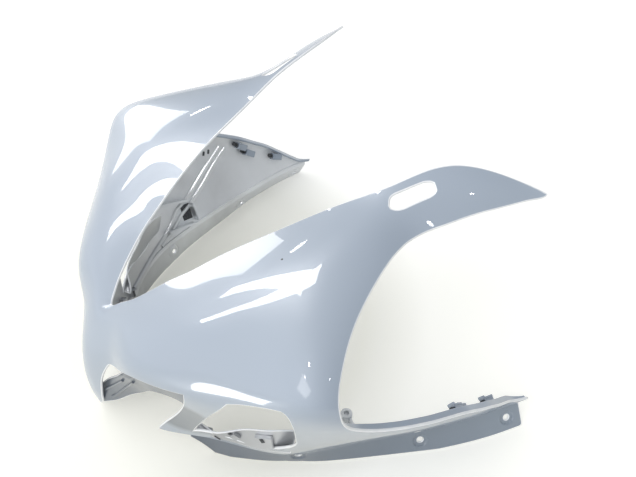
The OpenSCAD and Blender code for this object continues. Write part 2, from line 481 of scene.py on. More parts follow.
@dataclass
class Loop:
    """A closed outline made of smooth runs that meet at corners."""

    runs: Sequence[Run]

    def sample(self, stretch: Pair, step: float) -> tuple[Grid, Grid]:
        """Samples the outline.

        Args:
            stretch: Millimetres for one unit of each coordinate.
            step: Spacing in millimetres.

        Returns:
            The coordinates, and for each the flag of an edge that stays open.
        """
        points, flags = [], []
        for run in self.runs:
            part = run.sample(stretch, step)
            points.append(part)
            flags.append(np.full(len(part), run.open_edge))
        return np.vstack(points), np.concatenate(flags)


def whole_sheet(last: float) -> Loop:
    """Gives the outline of a whole sheet.

    Args:
        last: Its last first coordinate.

    Returns:
        The four straight edges.
    """
    corners = ((0.0, 0.0), (last, 0.0), (last, 1.0), (0.0, 1.0), (0.0, 0.0))
    return Loop(tuple(Run(edge) for edge in zip(corners, corners[1:])))


def inside(polygon: Grid, points: Grid) -> Grid:
    """Tells which points lie in a polygon.

    Args:
        polygon: Corners, one row each.
        points: Points, one row each.

    Returns:
        A flag for each point.
    """
    x, y = points[:, 0], points[:, 1]
    result = np.zeros(len(points), bool)
    for (x1, y1), (x2, y2) in zip(polygon, np.roll(polygon, -1, axis=0)):
        if y1 == y2:
            continue
        crosses = (y1 > y) != (y2 > y)
        result ^= crosses & (x < (x2 - x1) * (y - y1) / (y2 - y1) + x1)
    return result


class Face(IntEnum):
    """Material places of a moulded piece."""

    OUTSIDE = 0
    INSIDE = 1
    RIM = 2


@dataclass
class Moulding:
    """Vertices, normals and faces of a piece while it is made."""

    vertices: list[Grid] = field(default_factory=list)
    normals: list[Grid] = field(default_factory=list)
    faces: list[tuple[int, ...]] = field(default_factory=list)
    places: list[int] = field(default_factory=list)
    count: int = 0

    def add(self, points: Grid, normals: Grid) -> Grid:
        """Adds vertices.

        Args:
            points: Places, one row each.
            normals: Shading normals, one row each.

        Returns:
            The numbers of the new vertices.
        """
        self.vertices.append(np.asarray(points, float))
        self.normals.append(np.asarray(normals, float))
        numbers = np.arange(self.count, self.count + len(points))
        self.count += len(points)
        return numbers

    def face(self, corners: Sequence[int], place: Face) -> None:
        """Adds a face.

        Args:
            corners: Vertex numbers, anticlockwise from outside.
            place: Which material place it takes.
        """
        self.faces.append(tuple(int(c) for c in corners))
        self.places.append(int(place))

    def vertex(self, number: int) -> Grid:
        """Looks up one vertex.

        Args:
            number: The vertex number.

        Returns:
            Its place.
        """
        for block in self.vertices:
            if number < len(block):
                return block[number]
            number -= len(block)
        raise IndexError(number)

    def mirrored(self) -> Moulding:
        """Gives this piece with its mirror image across the middle plane.

        Returns:
            A new piece with both halves, joined where they meet.
        """
        points = np.vstack(self.vertices)
        normals = np.vstack(self.normals)
        apart = np.abs(points[:, 0]) >= ON_PLANE
        both = Moulding()
        twin = both.add(points, normals)
        twin[apart] = both.add(points[apart] * MIRROR, normals[apart] * MIRROR)
        for corners, place in zip(self.faces, self.places):
            both.face(corners, Face(place))
            both.face([twin[c] for c in reversed(corners)], Face(place))
        return both

    def build(self, name: str, materials: Sequence[bpy.types.Material]) -> bpy.types.Object:
        """Makes the Blender object.

        Args:
            name: Name of the object.
            materials: Material for each place.

        Returns:
            The object, with its own shading normals.
        """
        mesh = bpy.data.meshes.new(name)
        mesh.from_pydata(np.vstack(self.vertices).tolist(), [], self.faces)
        for material in materials:
            mesh.materials.append(material)
        mesh.polygons.foreach_set("material_index", self.places)
        mesh.polygons.foreach_set("use_smooth", [True] * len(self.faces))
        mesh.update()
        mesh.normals_split_custom_set_from_vertices(unit(np.vstack(self.normals)).tolist())
        return link(name, mesh)


def link(name: str, data: bpy.types.ID) -> bpy.types.Object:
    """Puts a mesh, light or camera into the scene.

    Args:
        name: Name of the object.
        data: What it shows.

    Returns:
        The new object.
    """
    made = bpy.data.objects.new(name, data)
    bpy.context.scene.collection.objects.link(made)
    return made


@dataclass
class TwoFaces:
    """The outer and inner face of a sheet while its rims are made."""

    piece: Moulding
    points: Grid
    normals: Grid
    outer: Grid
    inner: Grid
    third: dict[tuple[int, int], int]


@dataclass
class TrimmedSheet:
    """A sheet cut to outlines and given a wall with a rounded rim."""

    sheet: Sheet
    outline: Loop
    holes: Sequence[Loop]
    stretch: Pair
    wall_mm: float = 3.0
    pitch_mm: float = 3.0
    edge_mm: float = 2.0
    rim_steps: int = 6
    row_share: float = 0.866
    clear_share: float = 0.62
    block: int = 50
    tolerance: float = 1e-7

    def moulding(self) -> Moulding:
        """Makes the piece.

        Returns:
            The outer face, the rim and the inner face.
        """
        scale = np.array(self.stretch)
        loops = [loop.sample(self.stretch, self.edge_mm) for loop in (self.outline, *self.holes)]
        borders = [points * scale for points, _ in loops]
        rings = []
        start = 0
        for border in borders:
            rings.append(np.arange(start, start + len(border)))
            start += len(border)
        edges = [(int(i), int(j)) for ring in rings for i, j in zip(ring, np.roll(ring, -1))]
        triangles, flat = self._triangulate(np.vstack(borders + [self._fill(borders)]), edges, borders)
        a, b = (flat / scale).T
        points = self.sheet.point(a, b)
        normals = self.sheet.normal(a, b)
        piece = Moulding()
        outer = piece.add(points, normals)
        inner = piece.add(points - normals * self.wall_mm * MM, -normals)
        turned = self._turned(points, normals, triangles)
        third = {}
        for tri in triangles:
            corners = tri[::-1] if turned else tri
            piece.face([outer[c] for c in corners], Face.OUTSIDE)
            piece.face([inner[c] for c in corners[::-1]], Face.INSIDE)
            for k in range(3):
                third[(tri[k], tri[(k + 1) % 3])] = tri[(k + 2) % 3]
        faces = TwoFaces(piece, points, normals, outer, inner, third)
        for ring, (_, flags) in zip(rings, loops):
            self._rim(faces, ring, flags)
        return piece

    def _fill(self, borders: Sequence[Grid]) -> Grid:
        """Spreads points evenly between the borders.

        Args:
            borders: The outline, then the holes, in millimetres.

        Returns:
            The points, clear of every border.
        """
        low, high = borders[0].min(axis=0), borders[0].max(axis=0)
        pitch = self.pitch_mm
        xs = np.arange(low[0] + pitch / 2, high[0], pitch)
        ys = np.arange(low[1] + pitch / 2, high[1], pitch * self.row_share)
        x, y = np.meshgrid(xs, ys)
        x[1::2] += pitch / 2
        points = np.stack([x.ravel(), y.ravel()], axis=1)
        points = points[self._between(borders, points)]
        near = np.zeros(len(points), bool)
        for border in borders:
            for part in np.array_split(border, max(1, len(border) // self.block)):
                gap = np.linalg.norm(points[:, None, :] - part[None, :, :], axis=2).min(axis=1)
                near |= gap < self.clear_share * self.edge_mm
        return points[~near]

    @staticmethod
    def _between(borders: Sequence[Grid], points: Grid) -> Grid:
        """Tells which points lie in the outline and outside all holes.

        Args:
            borders: The outline, then the holes.
            points: The points.

        Returns:
            A flag for each point.
        """
        keep = inside(borders[0], points)
        for hole in borders[1:]:
            keep &= ~inside(hole, points)
        return keep

    def _triangulate(
        self, flat: Grid, edges: list[tuple[int, int]], borders: Sequence[Grid]
    ) -> tuple[list[list[int]], Grid]:
        """Joins points to triangles.

        Args:
            flat: The points, those of the borders first.
            edges: Pairs of neighbours along the borders.
            borders: The outline, then the holes.

        Returns:
            The triangles between the borders, and the points that they use.
        """
        result = delaunay_2d_cdt([Vector(p) for p in flat], edges, [], 0, self.tolerance)
        places = np.array([tuple(v) for v in result[0]])
        triangles = np.array([list(f) for f in result[2]])
        keep = self._between(borders, places[triangles].mean(axis=1))
        return triangles[keep].tolist(), places

    @staticmethod
    def _turned(points: Grid, normals: Grid, triangles: Sequence[Sequence[int]]) -> bool:
        """Tells whether the triangles face inwards.

        Args:
            points: Places of the vertices.
            normals: Their outward normals.
            triangles: The triangles.

        Returns:
            Whether most of their area does.
        """
        tri = np.array(triangles)
        side = np.cross(points[tri[:, 1]] - points[tri[:, 0]], points[tri[:, 2]] - points[tri[:, 0]])
        return float(np.einsum("ij,ij->i", side, normals[tri[:, 0]]).sum()) < 0.0

    def _around(self, normal: Grid, away: Grid, step: float) -> Grid:
        """Gives directions around the rim.

        Args:
            normal: Outward normals of the sheet.
            away: Directions out of the sheet's edge.
            step: How many steps round, from the outer face.

        Returns:
            The directions.
        """
        angle = math.pi * step / self.rim_steps
        return normal * math.cos(angle) + away * math.sin(angle)

    def _rim(self, faces: TwoFaces, ring: Grid, flags: Grid) -> None:
        """Rounds the rim along one border.

        Args:
            faces: The two faces.
            ring: Vertex numbers along the border.
            flags: For each of them, whether the edge that follows stays open.
        """
        points, normals = faces.points, faces.normals
        count = len(ring)
        away = np.zeros((count, 3))
        for i in range(count):
            j = (i + 1) % count
            p, q = int(ring[i]), int(ring[j])
            corner = faces.third.get((p, q), faces.third.get((q, p)))
            if corner is None:
                continue
            run = unit(points[q] - points[p])
            back = points[corner] - points[p]
            side = -(back - run * np.dot(back, run))
            side = unit(side - normals[p] * np.dot(side, normals[p]))
            away[i] += side
            away[j] += side
        away = unit(away)
        radius = self.wall_mm * MM / 2.0
        n = normals[ring]
        rings = [faces.outer[ring]]
        for k in range(1, self.rim_steps):
            direction = self._around(n, away, k)
            rings.append(faces.piece.add(points[ring] - n * radius + direction * radius, direction))
        rings.append(faces.inner[ring])
        for i in range(count):
            if flags[i]:
                continue
            j = (i + 1) % count
            for k in range(self.rim_steps):
                quad = [rings[k][i], rings[k + 1][i], rings[k + 1][j], rings[k][j]]
                outward = self._around(n[i], away[i], k + 0.5)
                turned = self._quad_turned(faces.piece, quad, outward)
                faces.piece.face(quad[::-1] if turned else quad, Face.RIM)

    @staticmethod
    def _quad_turned(piece: Moulding, quad: Sequence[int], outward: Grid) -> bool:
        """Tells whether a face of the rim points inwards.

        Args:
            piece: The piece that holds its vertices.
            quad: Their numbers.
            outward: The outward direction there.

        Returns:
            Whether it has to be turned.
        """
        corners = [piece.vertex(c) for c in quad]
        side = np.cross(corners[2] - corners[0], corners[3] - corners[1])
        return float(np.dot(side, outward)) < 0.0


@dataclass
class Sweep:
    """A closed section carried along a line, for lips and ribs."""

    section_mm: Sequence[Pair]

    def moulding(self, line: Grid, side: Grid, rise: Grid, widths: Grid | float = 1.0) -> Moulding:
        """Makes the swept piece.

        Args:
            line: Points of the line, in metres.
            side: Unit vectors along the section's first direction.
            rise: Unit vectors along the section's second direction.
            widths: Factor on the first direction, one for each point or one for all.

        Returns:
            The piece, closed at both ends.
        """
        section = np.array(self.section_mm, float) * MM
        factor = np.ones(len(line)) * widths
        turn = np.roll(section, -1, axis=0) - np.roll(section, 1, axis=0)
        flat_normal = unit(np.stack([turn[:, 1], -turn[:, 0]], axis=1))
        piece = Moulding()
        rings = []
        for p, s, r, f in zip(line, side, rise, factor):
            points = p + section[:, :1] * f * s + section[:, 1:] * r
            normals = flat_normal[:, :1] * s + flat_normal[:, 1:] * r
            rings.append(piece.add(points, normals))
        count = len(section)
        forward = np.dot(np.cross(side[0], rise[0]), line[1] - line[0]) > 0
        for low, high in zip(rings, rings[1:]):
            for j in range(count):
                k = (j + 1) % count
                quad = [low[j], low[k], high[k], high[j]]
                piece.face(quad if forward else quad[::-1], Face.OUTSIDE)
        for ring, run in ((rings[0], line[0] - line[1]), (rings[-1], line[-1] - line[-2])):
            points = np.vstack(piece.vertices)[ring]
            cap = piece.add(points, np.tile(unit(run), (count, 1)))
            outward = (ring is rings[0]) != forward
            piece.face(cap if outward else cap[::-1], Face.OUTSIDE)
        return piece


def rounded_section(width: float, height: float, radius: float, steps: int = 3) -> list[Pair]:
    """Outline of a bar with rounded corners, starting at the origin along its first direction.

    Args:
        width: Size along the first direction, in millimetres.
        height: Size along the second direction, centred.
        radius: Corner radius.
        steps: Segments in each corner.

    Returns:
        The outline's points, anticlockwise.
    """
    x, y = width - radius, height / 2 - radius
    points = []
    for cx, cy, start in ((x, -y, -90), (x, y, 0), (radius, y, 90), (radius, -y, 180)):
        for k in range(steps + 1):
            angle = math.radians(start + 90 * k / steps)
            points.append((cx + radius * math.cos(angle), cy + radius * math.sin(angle)))
    return points


def joined(pieces: Sequence[Moulding]) -> Moulding:
    """Puts several pieces into one.

    Args:
        pieces: The pieces.

    Returns:
        One piece that holds them all.
    """
    result = Moulding()
    for piece in pieces:
        shift = result.count
        result.add(np.vstack(piece.vertices), np.vstack(piece.normals))
        for corners, place in zip(piece.faces, piece.places):
            result.face([c + shift for c in corners], Face(place))
    return result


# Outlines on the skin, as stations and rows: the rear cut-out, then the openings around each strut
CUTOUT = (
    (11.0, 0.0), (10.55, 0.62), (10.02, 1.21), (9.67, 1.53), (9.34, 1.71), (8.99, 1.80), (8.52, 1.85),
    (8.13, 1.85),
    (7.74, 1.92), (7.50, 2.01), (7.23, 2.15), (7.02, 2.30), (6.76, 2.53), (6.51, 2.79), (6.36, 2.99),
    (6.22, 3.22),
    (6.07, 3.54), (6.00, 3.84), (6.00, 4.14), (6.05, 4.40), (6.14, 4.59), (6.28, 4.70), (6.50, 4.73),
    (6.76, 4.66),
    (7.02, 4.61), (7.38, 4.70), (7.78, 4.84), (8.35, 5.00), (8.75, 5.13), (9.05, 5.50), (9.30, 6.10),
    (9.55, 6.66), (9.80, 6.92), (9.98, 7.0),
)
# The point of the cut-out from which it runs back along the side bar
CUTOUT_CORNER = 18
INNER_BROW = (
    (0.36, 6.28), (0.45, 5.55), (0.54, 4.78), (0.69, 4.15), (0.90, 3.70), (1.15, 3.75), (1.41, 3.91),
    (1.97, 4.04), (2.47, 4.11), (3.01, 4.02),
)
STRUT_INNER = (
    (3.01, 4.02), (2.93, 4.72), (2.79, 5.29), (2.58, 5.86), (2.32, 6.40), (2.06, 6.90), (2.02, 7.0),
)
OUTER_BROW = ((3.90, 3.99), (4.20, 3.90), (4.47, 3.86), (4.75, 3.85), (5.00, 3.89))
REAR_CORNER = (
    (5.00, 3.89), (5.08, 4.00), (5.20, 4.38), (5.33, 4.84), (5.45, 5.35), (5.52, 5.75), (5.46, 6.08),
    (5.25, 6.37), (4.95, 6.60), (4.46, 6.60), (3.88, 6.49), (3.35, 6.46), (3.06, 6.53), (2.86, 6.67),
)
STRUT_OUTER = ((2.86, 6.67), (3.02, 6.12), (3.22, 5.55), (3.60, 4.53), (3.90, 3.99))
SLOT_RUNS = (
    ((7.78, 0.47), (7.84, 0.36), (7.93, 0.30)),
    ((7.93, 0.30), (8.43, 0.31)),
    ((8.43, 0.31), (8.53, 0.38), (8.58, 0.50)),
    ((8.58, 0.50), (8.56, 0.80)),
    ((8.56, 0.80), (8.50, 0.93), (8.39, 1.00)),
    ((8.39, 1.00), (7.95, 1.05)),
    ((7.95, 1.05), (7.79, 1.00), (7.70, 0.86)),
    ((7.70, 0.86), (7.70, 0.71)),
    ((7.70, 0.71), (7.78, 0.47)),
)

# Two ridges that follow the inner face, as stations and rows
RIDGE_LINES = (
    (
        (7.45, 5.15), (7.04, 5.66), (6.76, 6.03), (6.52, 6.28), (6.32, 6.42), (6.16, 6.50), (5.94, 6.70),
        (5.38, 6.86), (4.3, 6.93), (3.4, 6.93),
    ),
    (
        (7.58, 5.22), (7.16, 5.72), (6.88, 6.10), (6.64, 6.36), (6.46, 6.52), (6.24, 6.64), (5.94, 6.82),
        (5.40, 6.94),
    ),
)


@dataclass
class Finish:
    """Materials of the fairing."""

    paint: bpy.types.Material
    bare: bpy.types.Material
    # Rim finish: painted highlight with some wear.
    edge: bpy.types.Material
    # Near-black material of painted shade.
    painted_shade: bpy.types.Material
    # Paint with painted shade, for the flange and the duct walls.
    thin: bpy.types.Material

    @property
    def shell(self) -> tuple[bpy.types.Material, ...]:
        """Painted outside, bare inside and a rim with painted highlight and some wear."""
        return self.paint, self.bare, self.edge


@dataclass
class Shell:
    """The main sheet with its openings."""

    skin: Skin
    nose_foot: Sequence[Pair] = (INNER_BROW[0], (0.19, 6.62), (0.0, 6.93))
    screen_stops: int = 12

    def moulding(self) -> Moulding:
        """Makes both halves of the shell.

        Returns:
            The shell.
        """
        screen = np.linspace(0.0, float(self.skin.last_station), self.screen_stops)
        outline = Loop((
            Run(tuple((float(a), 0.0) for a in screen)),
            Run(CUTOUT),
            Run((CUTOUT[-1], STRUT_INNER[-1])),
            Run(STRUT_INNER[::-1]),
            Run(INNER_BROW[::-1]),
            Run(self.nose_foot),
            Run((self.nose_foot[-1], (0.0, 0.0)), open_edge=True),
        ))
        lamp = Loop((Run(OUTER_BROW), Run(REAR_CORNER), Run(STRUT_OUTER)))
        slot = Loop(tuple(Run(points) for points in SLOT_RUNS))
        return TrimmedSheet(self.skin, outline, (lamp, slot), SKIN_STRETCH).moulding().mirrored()


@dataclass
class BarLip:
    """The lip turned inwards along the top of each side bar."""

    skin: Skin
    width_mm: float = 9.0
    thick_mm: float = 2.4
    round_mm: float = 1.0
    step_mm: float = 3.0
    in_mm: float = 0.5
    up_mm: float = 0.1
    front_width: float = 0.15
    front_share: float = 0.16
    rear_width: float = 0.5
    rear_share: float = 0.85

    def moulding(self) -> Moulding:
        """Makes both lips.

        Returns:
            The lips.
        """
        path = Run(CUTOUT[CUTOUT_CORNER - 1 :]).sample(SKIN_STRETCH, self.step_mm)
        a, b = path.T
        run = unit(np.gradient(self.skin.point(a, b), axis=0))
        inward = unit(np.array([-1.0, 0.0, 0.0]) + run * run[:, :1])
        rise = np.cross(run, inward)
        line = self.skin.point(a, b) + inward * self.in_mm * MM + rise * self.up_mm * MM
        share = np.linspace(0.0, 1.0, len(path))
        opening = self.front_width + (1.0 - self.front_width) * smoothstep(0.0, self.front_share, share)
        closing = 1.0 - (1.0 - self.rear_width) * smoothstep(self.rear_share, 1.0, share)
        section = Sweep(rounded_section(self.width_mm, self.thick_mm, self.round_mm))
        return section.moulding(line, inward, rise, opening * closing).mirrored()


@dataclass
class Flange:
    """The fastening flange of each side, with its sunk screw seats."""

    skin: Skin
    seats: Sequence[ScrewSeat] = (ScrewSeat(5.72, 13.5), ScrewSeat(7.68, 12.5), ScrewSeat(9.38, 12.5))
    rear_corner: Sequence[Pair] = ((0.0, 0.93), (-0.02, 0.985), (-0.09, 1.0))
    stretch: Pair = (46.0, 28.0)
    wall_mm: float = 2.5
    pitch_mm: float = 1.5
    edge_mm: float = 1.3
    hole_steps: int = 41
    hole_probe: float = 0.02

    def __post_init__(self) -> None:
        """Makes the sheet that the flange follows."""
        self.sheet = FlangeSheet(self.skin, self.seats)

    def moulding(self) -> Moulding:
        """Makes both flanges.

        Returns:
            The flanges.
        """
        low, high = self.sheet.start, self.sheet.finish
        corner = tuple((high + a, b) for a, b in self.rear_corner)
        outline = Loop((
            Run(((low, 0.0), (high, 0.0))),
            Run(((high, 0.0), corner[0])),
            Run(corner),
            Run((corner[-1], (low, 1.0))),
            Run(((low, 1.0), (low, 0.0))),
        ))
        holes = tuple(self._hole(seat) for seat in self.seats)
        sizes = (self.wall_mm, self.pitch_mm, self.edge_mm)
        return TrimmedSheet(self.sheet, outline, holes, self.stretch, *sizes).moulding().mirrored()

    def _hole(self, seat: ScrewSeat) -> Loop:
        """Gives the round outline of a screw hole in flange coordinates.

        Args:
            seat: The seat of the screw.

        Returns:
            The outline.
        """
        a0, b0 = self.sheet.coordinates(seat)
        a, b, e = np.array([a0]), np.array([b0]), self.hole_probe
        centre = self.sheet.plain(a, b)
        wide = np.linalg.norm(self.sheet.plain(a + e, b) - centre) / e / MM
        tall = np.linalg.norm(self.sheet.plain(a, b + e) - centre) / e / MM
        radius = seat.hole_mm / 2.0
        angles = np.radians(np.linspace(0.0, 360.0, self.hole_steps))
        points = tuple((a0 + radius * math.cos(t) / wide, b0 + radius * math.sin(t) / tall) for t in angles)
        return Loop((Run(points),))


@dataclass
class LampShelf:
    """The shelf that rises behind the lower edge of each headlight opening."""

    skin: Skin
    stations: Pair = (2.95, 5.5)
    foot_row: float = 6.66
    foot_shift_mm: Triple = (0.6, -0.6, 0.0)
    top_mm: Sequence[Triple] = (
        (106, 80, 40), (117, 84, 45), (131, 87, 53), (142, 97, 61), (150, 108, 67),
        (159, 118, 72), (169, 129, 75), (177, 142, 76), (183, 154, 74),
    )
    bow_mm: float = -1.5
    wall_mm: float = 2.2
    stretch: Pair = (13.0, 26.0)

    def sheet(self) -> Ruled:
        """Gives the shelf as a sheet.

        Returns:
            The sheet, from its foot on the skin to its upper edge.
        """
        stations = np.linspace(*self.stations, len(self.top_mm))
        foot = self.skin.point(stations, np.full_like(stations, self.foot_row))
        first = foot / MM + np.array([0.0, MIDDLE_Y, 0.0]) - np.array(self.foot_shift_mm)
        return Ruled(first, self.top_mm, self.bow_mm)

    def moulding(self) -> Moulding:
        """Makes both shelves.

        Returns:
            The shelves.
        """
        outline = whole_sheet(float(len(self.top_mm) - 1))
        return TrimmedSheet(self.sheet(), outline, (), self.stretch, self.wall_mm).moulding().mirrored()


@dataclass
class DuctWall:
    """The curved wall behind the nose column, with two shallow ribs."""

    upper_mm: Sequence[Triple] = (
        (13, 7, 48), (27, 15, 68), (43, 21, 87), (62, 25, 112), (83, 31, 129), (110, 47, 138),
        (139, 65, 147),
    )
    lower_mm: Sequence[Triple] = (
        (13, 1, 19), (32, 16, 36), (47, 27, 55), (65, 38, 74), (90, 43, 103), (110, 56, 109),
        (134, 64, 120),
    )
    ribs: Sequence[tuple[Pair, Pair]] = (((0.35, 0.35), (2.3, 0.25)), ((0.7, 0.8), (3.2, 0.45)))
    rib_mm: Triple = (3.0, 3.2, 1.2)
    rib_lift_mm: float = 0.3
    rib_steps: int = 24
    stretch: Pair = (26.0, 36.0)
    wall_mm: float = 2.5

    def moulding(self) -> Moulding:
        """Makes both duct walls.

        Returns:
            The walls.
        """
        sheet = Ruled(self.upper_mm, self.lower_mm)
        outline = whole_sheet(float(len(self.upper_mm) - 1))
        wall = TrimmedSheet(sheet, outline, (), self.stretch, self.wall_mm).moulding()
        return joined([wall, *(self._rib(sheet, *ends) for ends in self.ribs)]).mirrored()

    def _rib(self, sheet: Ruled, start: Pair, end: Pair) -> Moulding:
        """Makes one rib on the wall.

        Args:
            sheet: The wall's sheet.
            start: Where the rib starts, in its coordinates.
            end: Where it ends.

        Returns:
            The rib.
        """
        a, b = np.linspace(start, end, self.rib_steps).T
        line = sheet.point(a, b)
        rise = sheet.normal(a, b)
        side = np.cross(rise, unit(np.gradient(line, axis=0)))
        line = line - side * (self.rib_mm[0] / 2.0) * MM + rise * self.rib_lift_mm * MM
        return Sweep(rounded_section(*self.rib_mm)).moulding(line, side, rise)


Ink = Sequence[float] | bpy.types.NodeSocket
# Places of the colour sockets on a Mix node: its factor, its two colours and its result
MIX_FACTOR, MIX_FIRST, MIX_SECOND, MIX_RESULT = 0, 6, 7, 2


@dataclass(frozen=True)
class Wire:
    """A shader value that can be combined with numbers and other values by plain arithmetic."""

    nodes: Nodes
    socket: bpy.types.NodeSocket

    def _maths(self, operation: str, *others: Wire | float) -> Wire:
        """Adds a Math node.

        Args:
            operation: What it does.
            others: Its further values.

        Returns:
            The result.
        """
        made = self.nodes.add("ShaderNodeMath", {"operation": operation}, dict(enumerate((self, *others))))
        return Wire(self.nodes, made.outputs[0])

    def __add__(self, other: Wire | float) -> Wire:
        """The sum."""
        return self._maths("ADD", other)

    def __sub__(self, other: Wire | float) -> Wire:
        """The difference."""
        return self._maths("SUBTRACT", other)

    def __mul__(self, other: Wire | float) -> Wire:
        """The product."""
        return self._maths("MULTIPLY", other)

    def __radd__(self, other: float) -> Wire:
        """The sum, with a number first."""
        return self + other

    def __rsub__(self, other: float) -> Wire:
        """The difference, with a number first."""
        return self * -1.0 + other

    def __rmul__(self, other: float) -> Wire:
        """The product, with a number first."""
        return self * other

    def __lt__(self, other: Wire | float) -> Wire:
        """One where the value is less, and nought elsewhere."""
        return self._maths("LESS_THAN", other)

    def size(self) -> Wire:
        """The value without its sign."""
        return self._maths("ABSOLUTE")

    def clamped(self) -> Wire:
        """The value held between 0 and 1."""
        return self._maths("MINIMUM", 1.0)._maths("MAXIMUM", 0.0)

    def ramp(self, low: float, high: float) -> Wire:
        """The value's rise from 0 at low to 1 at high, held at both ends."""
        return ((self - low) * (1.0 / (high - low))).clamped()


@dataclass
class Nodes:
    """A node tree to which nodes are added."""

    tree: bpy.types.NodeTree

    def add(
        self,
        kind: str,
        settings: dict[str, object] | None = None,
        sockets: dict[str | int, object] | None = None,
    ) -> bpy.types.Node:
        """Adds a node.

        Args:
            kind: The node's type name.
            settings: Its own properties, which are set first.
            sockets: Values or links of its inputs, by name or place.

        Returns:
            The node.
        """
        made = self.tree.nodes.new(kind)
        for key, value in (settings or {}).items():
            setattr(made, key, value)
        self.fill(made, sockets or {})
        return made

    def fill(self, node: bpy.types.Node, sockets: dict[str | int, object]) -> None:
        """Sets or links inputs of a node.

        Args:
            node: The node.
            sockets: Values or links of its inputs, by name or place.
        """
        for key, value in sockets.items():
            if isinstance(key, int):
                socket = node.inputs[key]
            else:
                socket = next(made for made in node.inputs if made.name == key and made.enabled)
            source = value.socket if isinstance(value, Wire) else value
            if isinstance(source, bpy.types.NodeSocket):
                self.tree.links.new(source, socket)
            elif socket.type == "RGBA":
                socket.default_value = (*source, 1.0)
            else:
                socket.default_value = source

    def mix(self, factor: Wire, first: Ink, second: Ink) -> bpy.types.NodeSocket:
        """Mixes two colours.

        Args:
            factor: Share of the second colour.
            first: Colour at 0, or a socket that gives it.
            second: Colour at 1, or a socket that gives it.

        Returns:
            The socket with the mixed colour.
        """
        sockets = {MIX_FACTOR: factor, MIX_FIRST: first, MIX_SECOND: second}
        return self.add("ShaderNodeMix", {"data_type": "RGBA"}, sockets).outputs[MIX_RESULT]


class PieceTree(Nodes):
    """A Geometry Nodes tree with named inputs, ended by Realize Instances and Set Material."""

    def __init__(
        self, name: str, sizes: dict[str, float], patterns: dict[str, bpy.types.Object] | None = None
    ) -> None:
        """Makes the tree and its inputs.

        Args:
            name: Name of the tree.
            sizes: Value of each number that it takes, by name.
            patterns: Each object that it takes, by name.
        """
        super().__init__(bpy.data.node_groups.new(name, "GeometryNodeTree"))
        self.values = {**sizes, **(patterns or {})}
        panel = self.tree.interface
        panel.new_socket("Geometry", in_out="INPUT", socket_type="NodeSocketGeometry")
        for label, value in self.values.items():
            kind = "NodeSocketFloat" if label in sizes else "NodeSocketObject"
            socket = panel.new_socket(label, in_out="INPUT", socket_type=kind)
            if label in sizes:
                socket.default_value = value
        panel.new_socket("Finish", in_out="INPUT", socket_type="NodeSocketMaterial")
        panel.new_socket("Geometry", in_out="OUTPUT", socket_type="NodeSocketGeometry")
        self.entry = self.add("NodeGroupInput").outputs

    def close(self, geometry: bpy.types.NodeSocket) -> None:
        """Ends the tree with realized instances and the finish.

        Args:
            geometry: What the tree has made.
        """
        real = self.add("GeometryNodeRealizeInstances", sockets={"Geometry": geometry}).outputs[0]
        sockets = {"Geometry": real, "Material": self.entry["Finish"]}
        dressed = self.add("GeometryNodeSetMaterial", sockets=sockets)
        self.add("NodeGroupOutput", sockets={0: dressed.outputs[0]})

    def run(self, name: str, mesh: bpy.types.Mesh, finish: bpy.types.Material) -> bpy.types.Mesh:
        """Runs the tree on a mesh.

        Args:
            name: Name of the result.
            mesh: Its input.
            finish: Its material.

        Returns:
            A plain mesh.
        """
        carrier = link(name + "_carrier", mesh)
        modifier = carrier.modifiers.new("tree", "NODES")
        modifier.node_group = self.tree
        values = {**self.values, "Finish": finish}
        for item in self.tree.interface.items_tree:
            if item.in_out == "INPUT" and item.name in values:
                modifier[item.identifier] = values[item.name]
        graph = bpy.context.evaluated_depsgraph_get()
        result = bpy.data.meshes.new_from_object(carrier.evaluated_get(graph))
        result.name = name
        bpy.data.objects.remove(carrier)
        return result


@dataclass
class Beads:
    """Half-round stiffening beads along lines of a sheet, on both sides."""

    radius_mm: float = 2.6
    depth_mm: float = 3.2
    steps: int = 28
    round_steps: int = 12

    def mesh(self, name: str, lines: Sequence[Grid], finish: bpy.types.Material) -> bpy.types.Mesh:
        """Sweeps a round section along the lines.

        Args:
            name: Name of the mesh.
            lines: Points of each line on the right side, in metres.
            finish: Its material.

        Returns:
            The mesh of both sides.
        """
        tree = PieceTree(name + "_tree", {"Radius": self.radius_mm * MM})
        curve = tree.add("GeometryNodeMeshToCurve", sockets={"Mesh": tree.entry["Geometry"]})
        circle = {"Resolution": self.round_steps, "Radius": tree.entry["Radius"]}
        ring = tree.add("GeometryNodeCurvePrimitiveCircle", sockets=circle)
        swept = {"Curve": curve.outputs[0], "Profile Curve": ring.outputs[0], "Fill Caps": True}
        tree.close(tree.add("GeometryNodeCurveToMesh", sockets=swept).outputs[0])
        points, edges = [], []
        for line in lines:
            for side in (line, line * MIRROR):
                start = len(points)
                points += side.tolist()
                edges += [(start + i, start + i + 1) for i in range(len(line) - 1)]
        source = bpy.data.meshes.new(name + "_lines")
        source.from_pydata(points, edges, [])
        result = tree.run(name, source, finish)
        result.polygons.foreach_set("use_smooth", [True] * len(result.polygons))
        return result

    def line(self, sheet: Sheet, stops: Sequence[Pair]) -> Grid:
        """Follows stops on a sheet.

        Args:
            sheet: The sheet.
            stops: Coordinates that the line passes through.

        Returns:
            Points of the line, on the hollow side of the sheet.
        """
        x = np.linspace(0.0, len(stops) - 1.0, self.steps)
        a, b = natural_spline(np.array(stops, float), x).T
        return sheet.point(a, b) - sheet.normal(a, b) * self.depth_mm * MM


# The most that a block's edges are rounded, as a share of its thinnest side
THIN_SHARE = 0.3


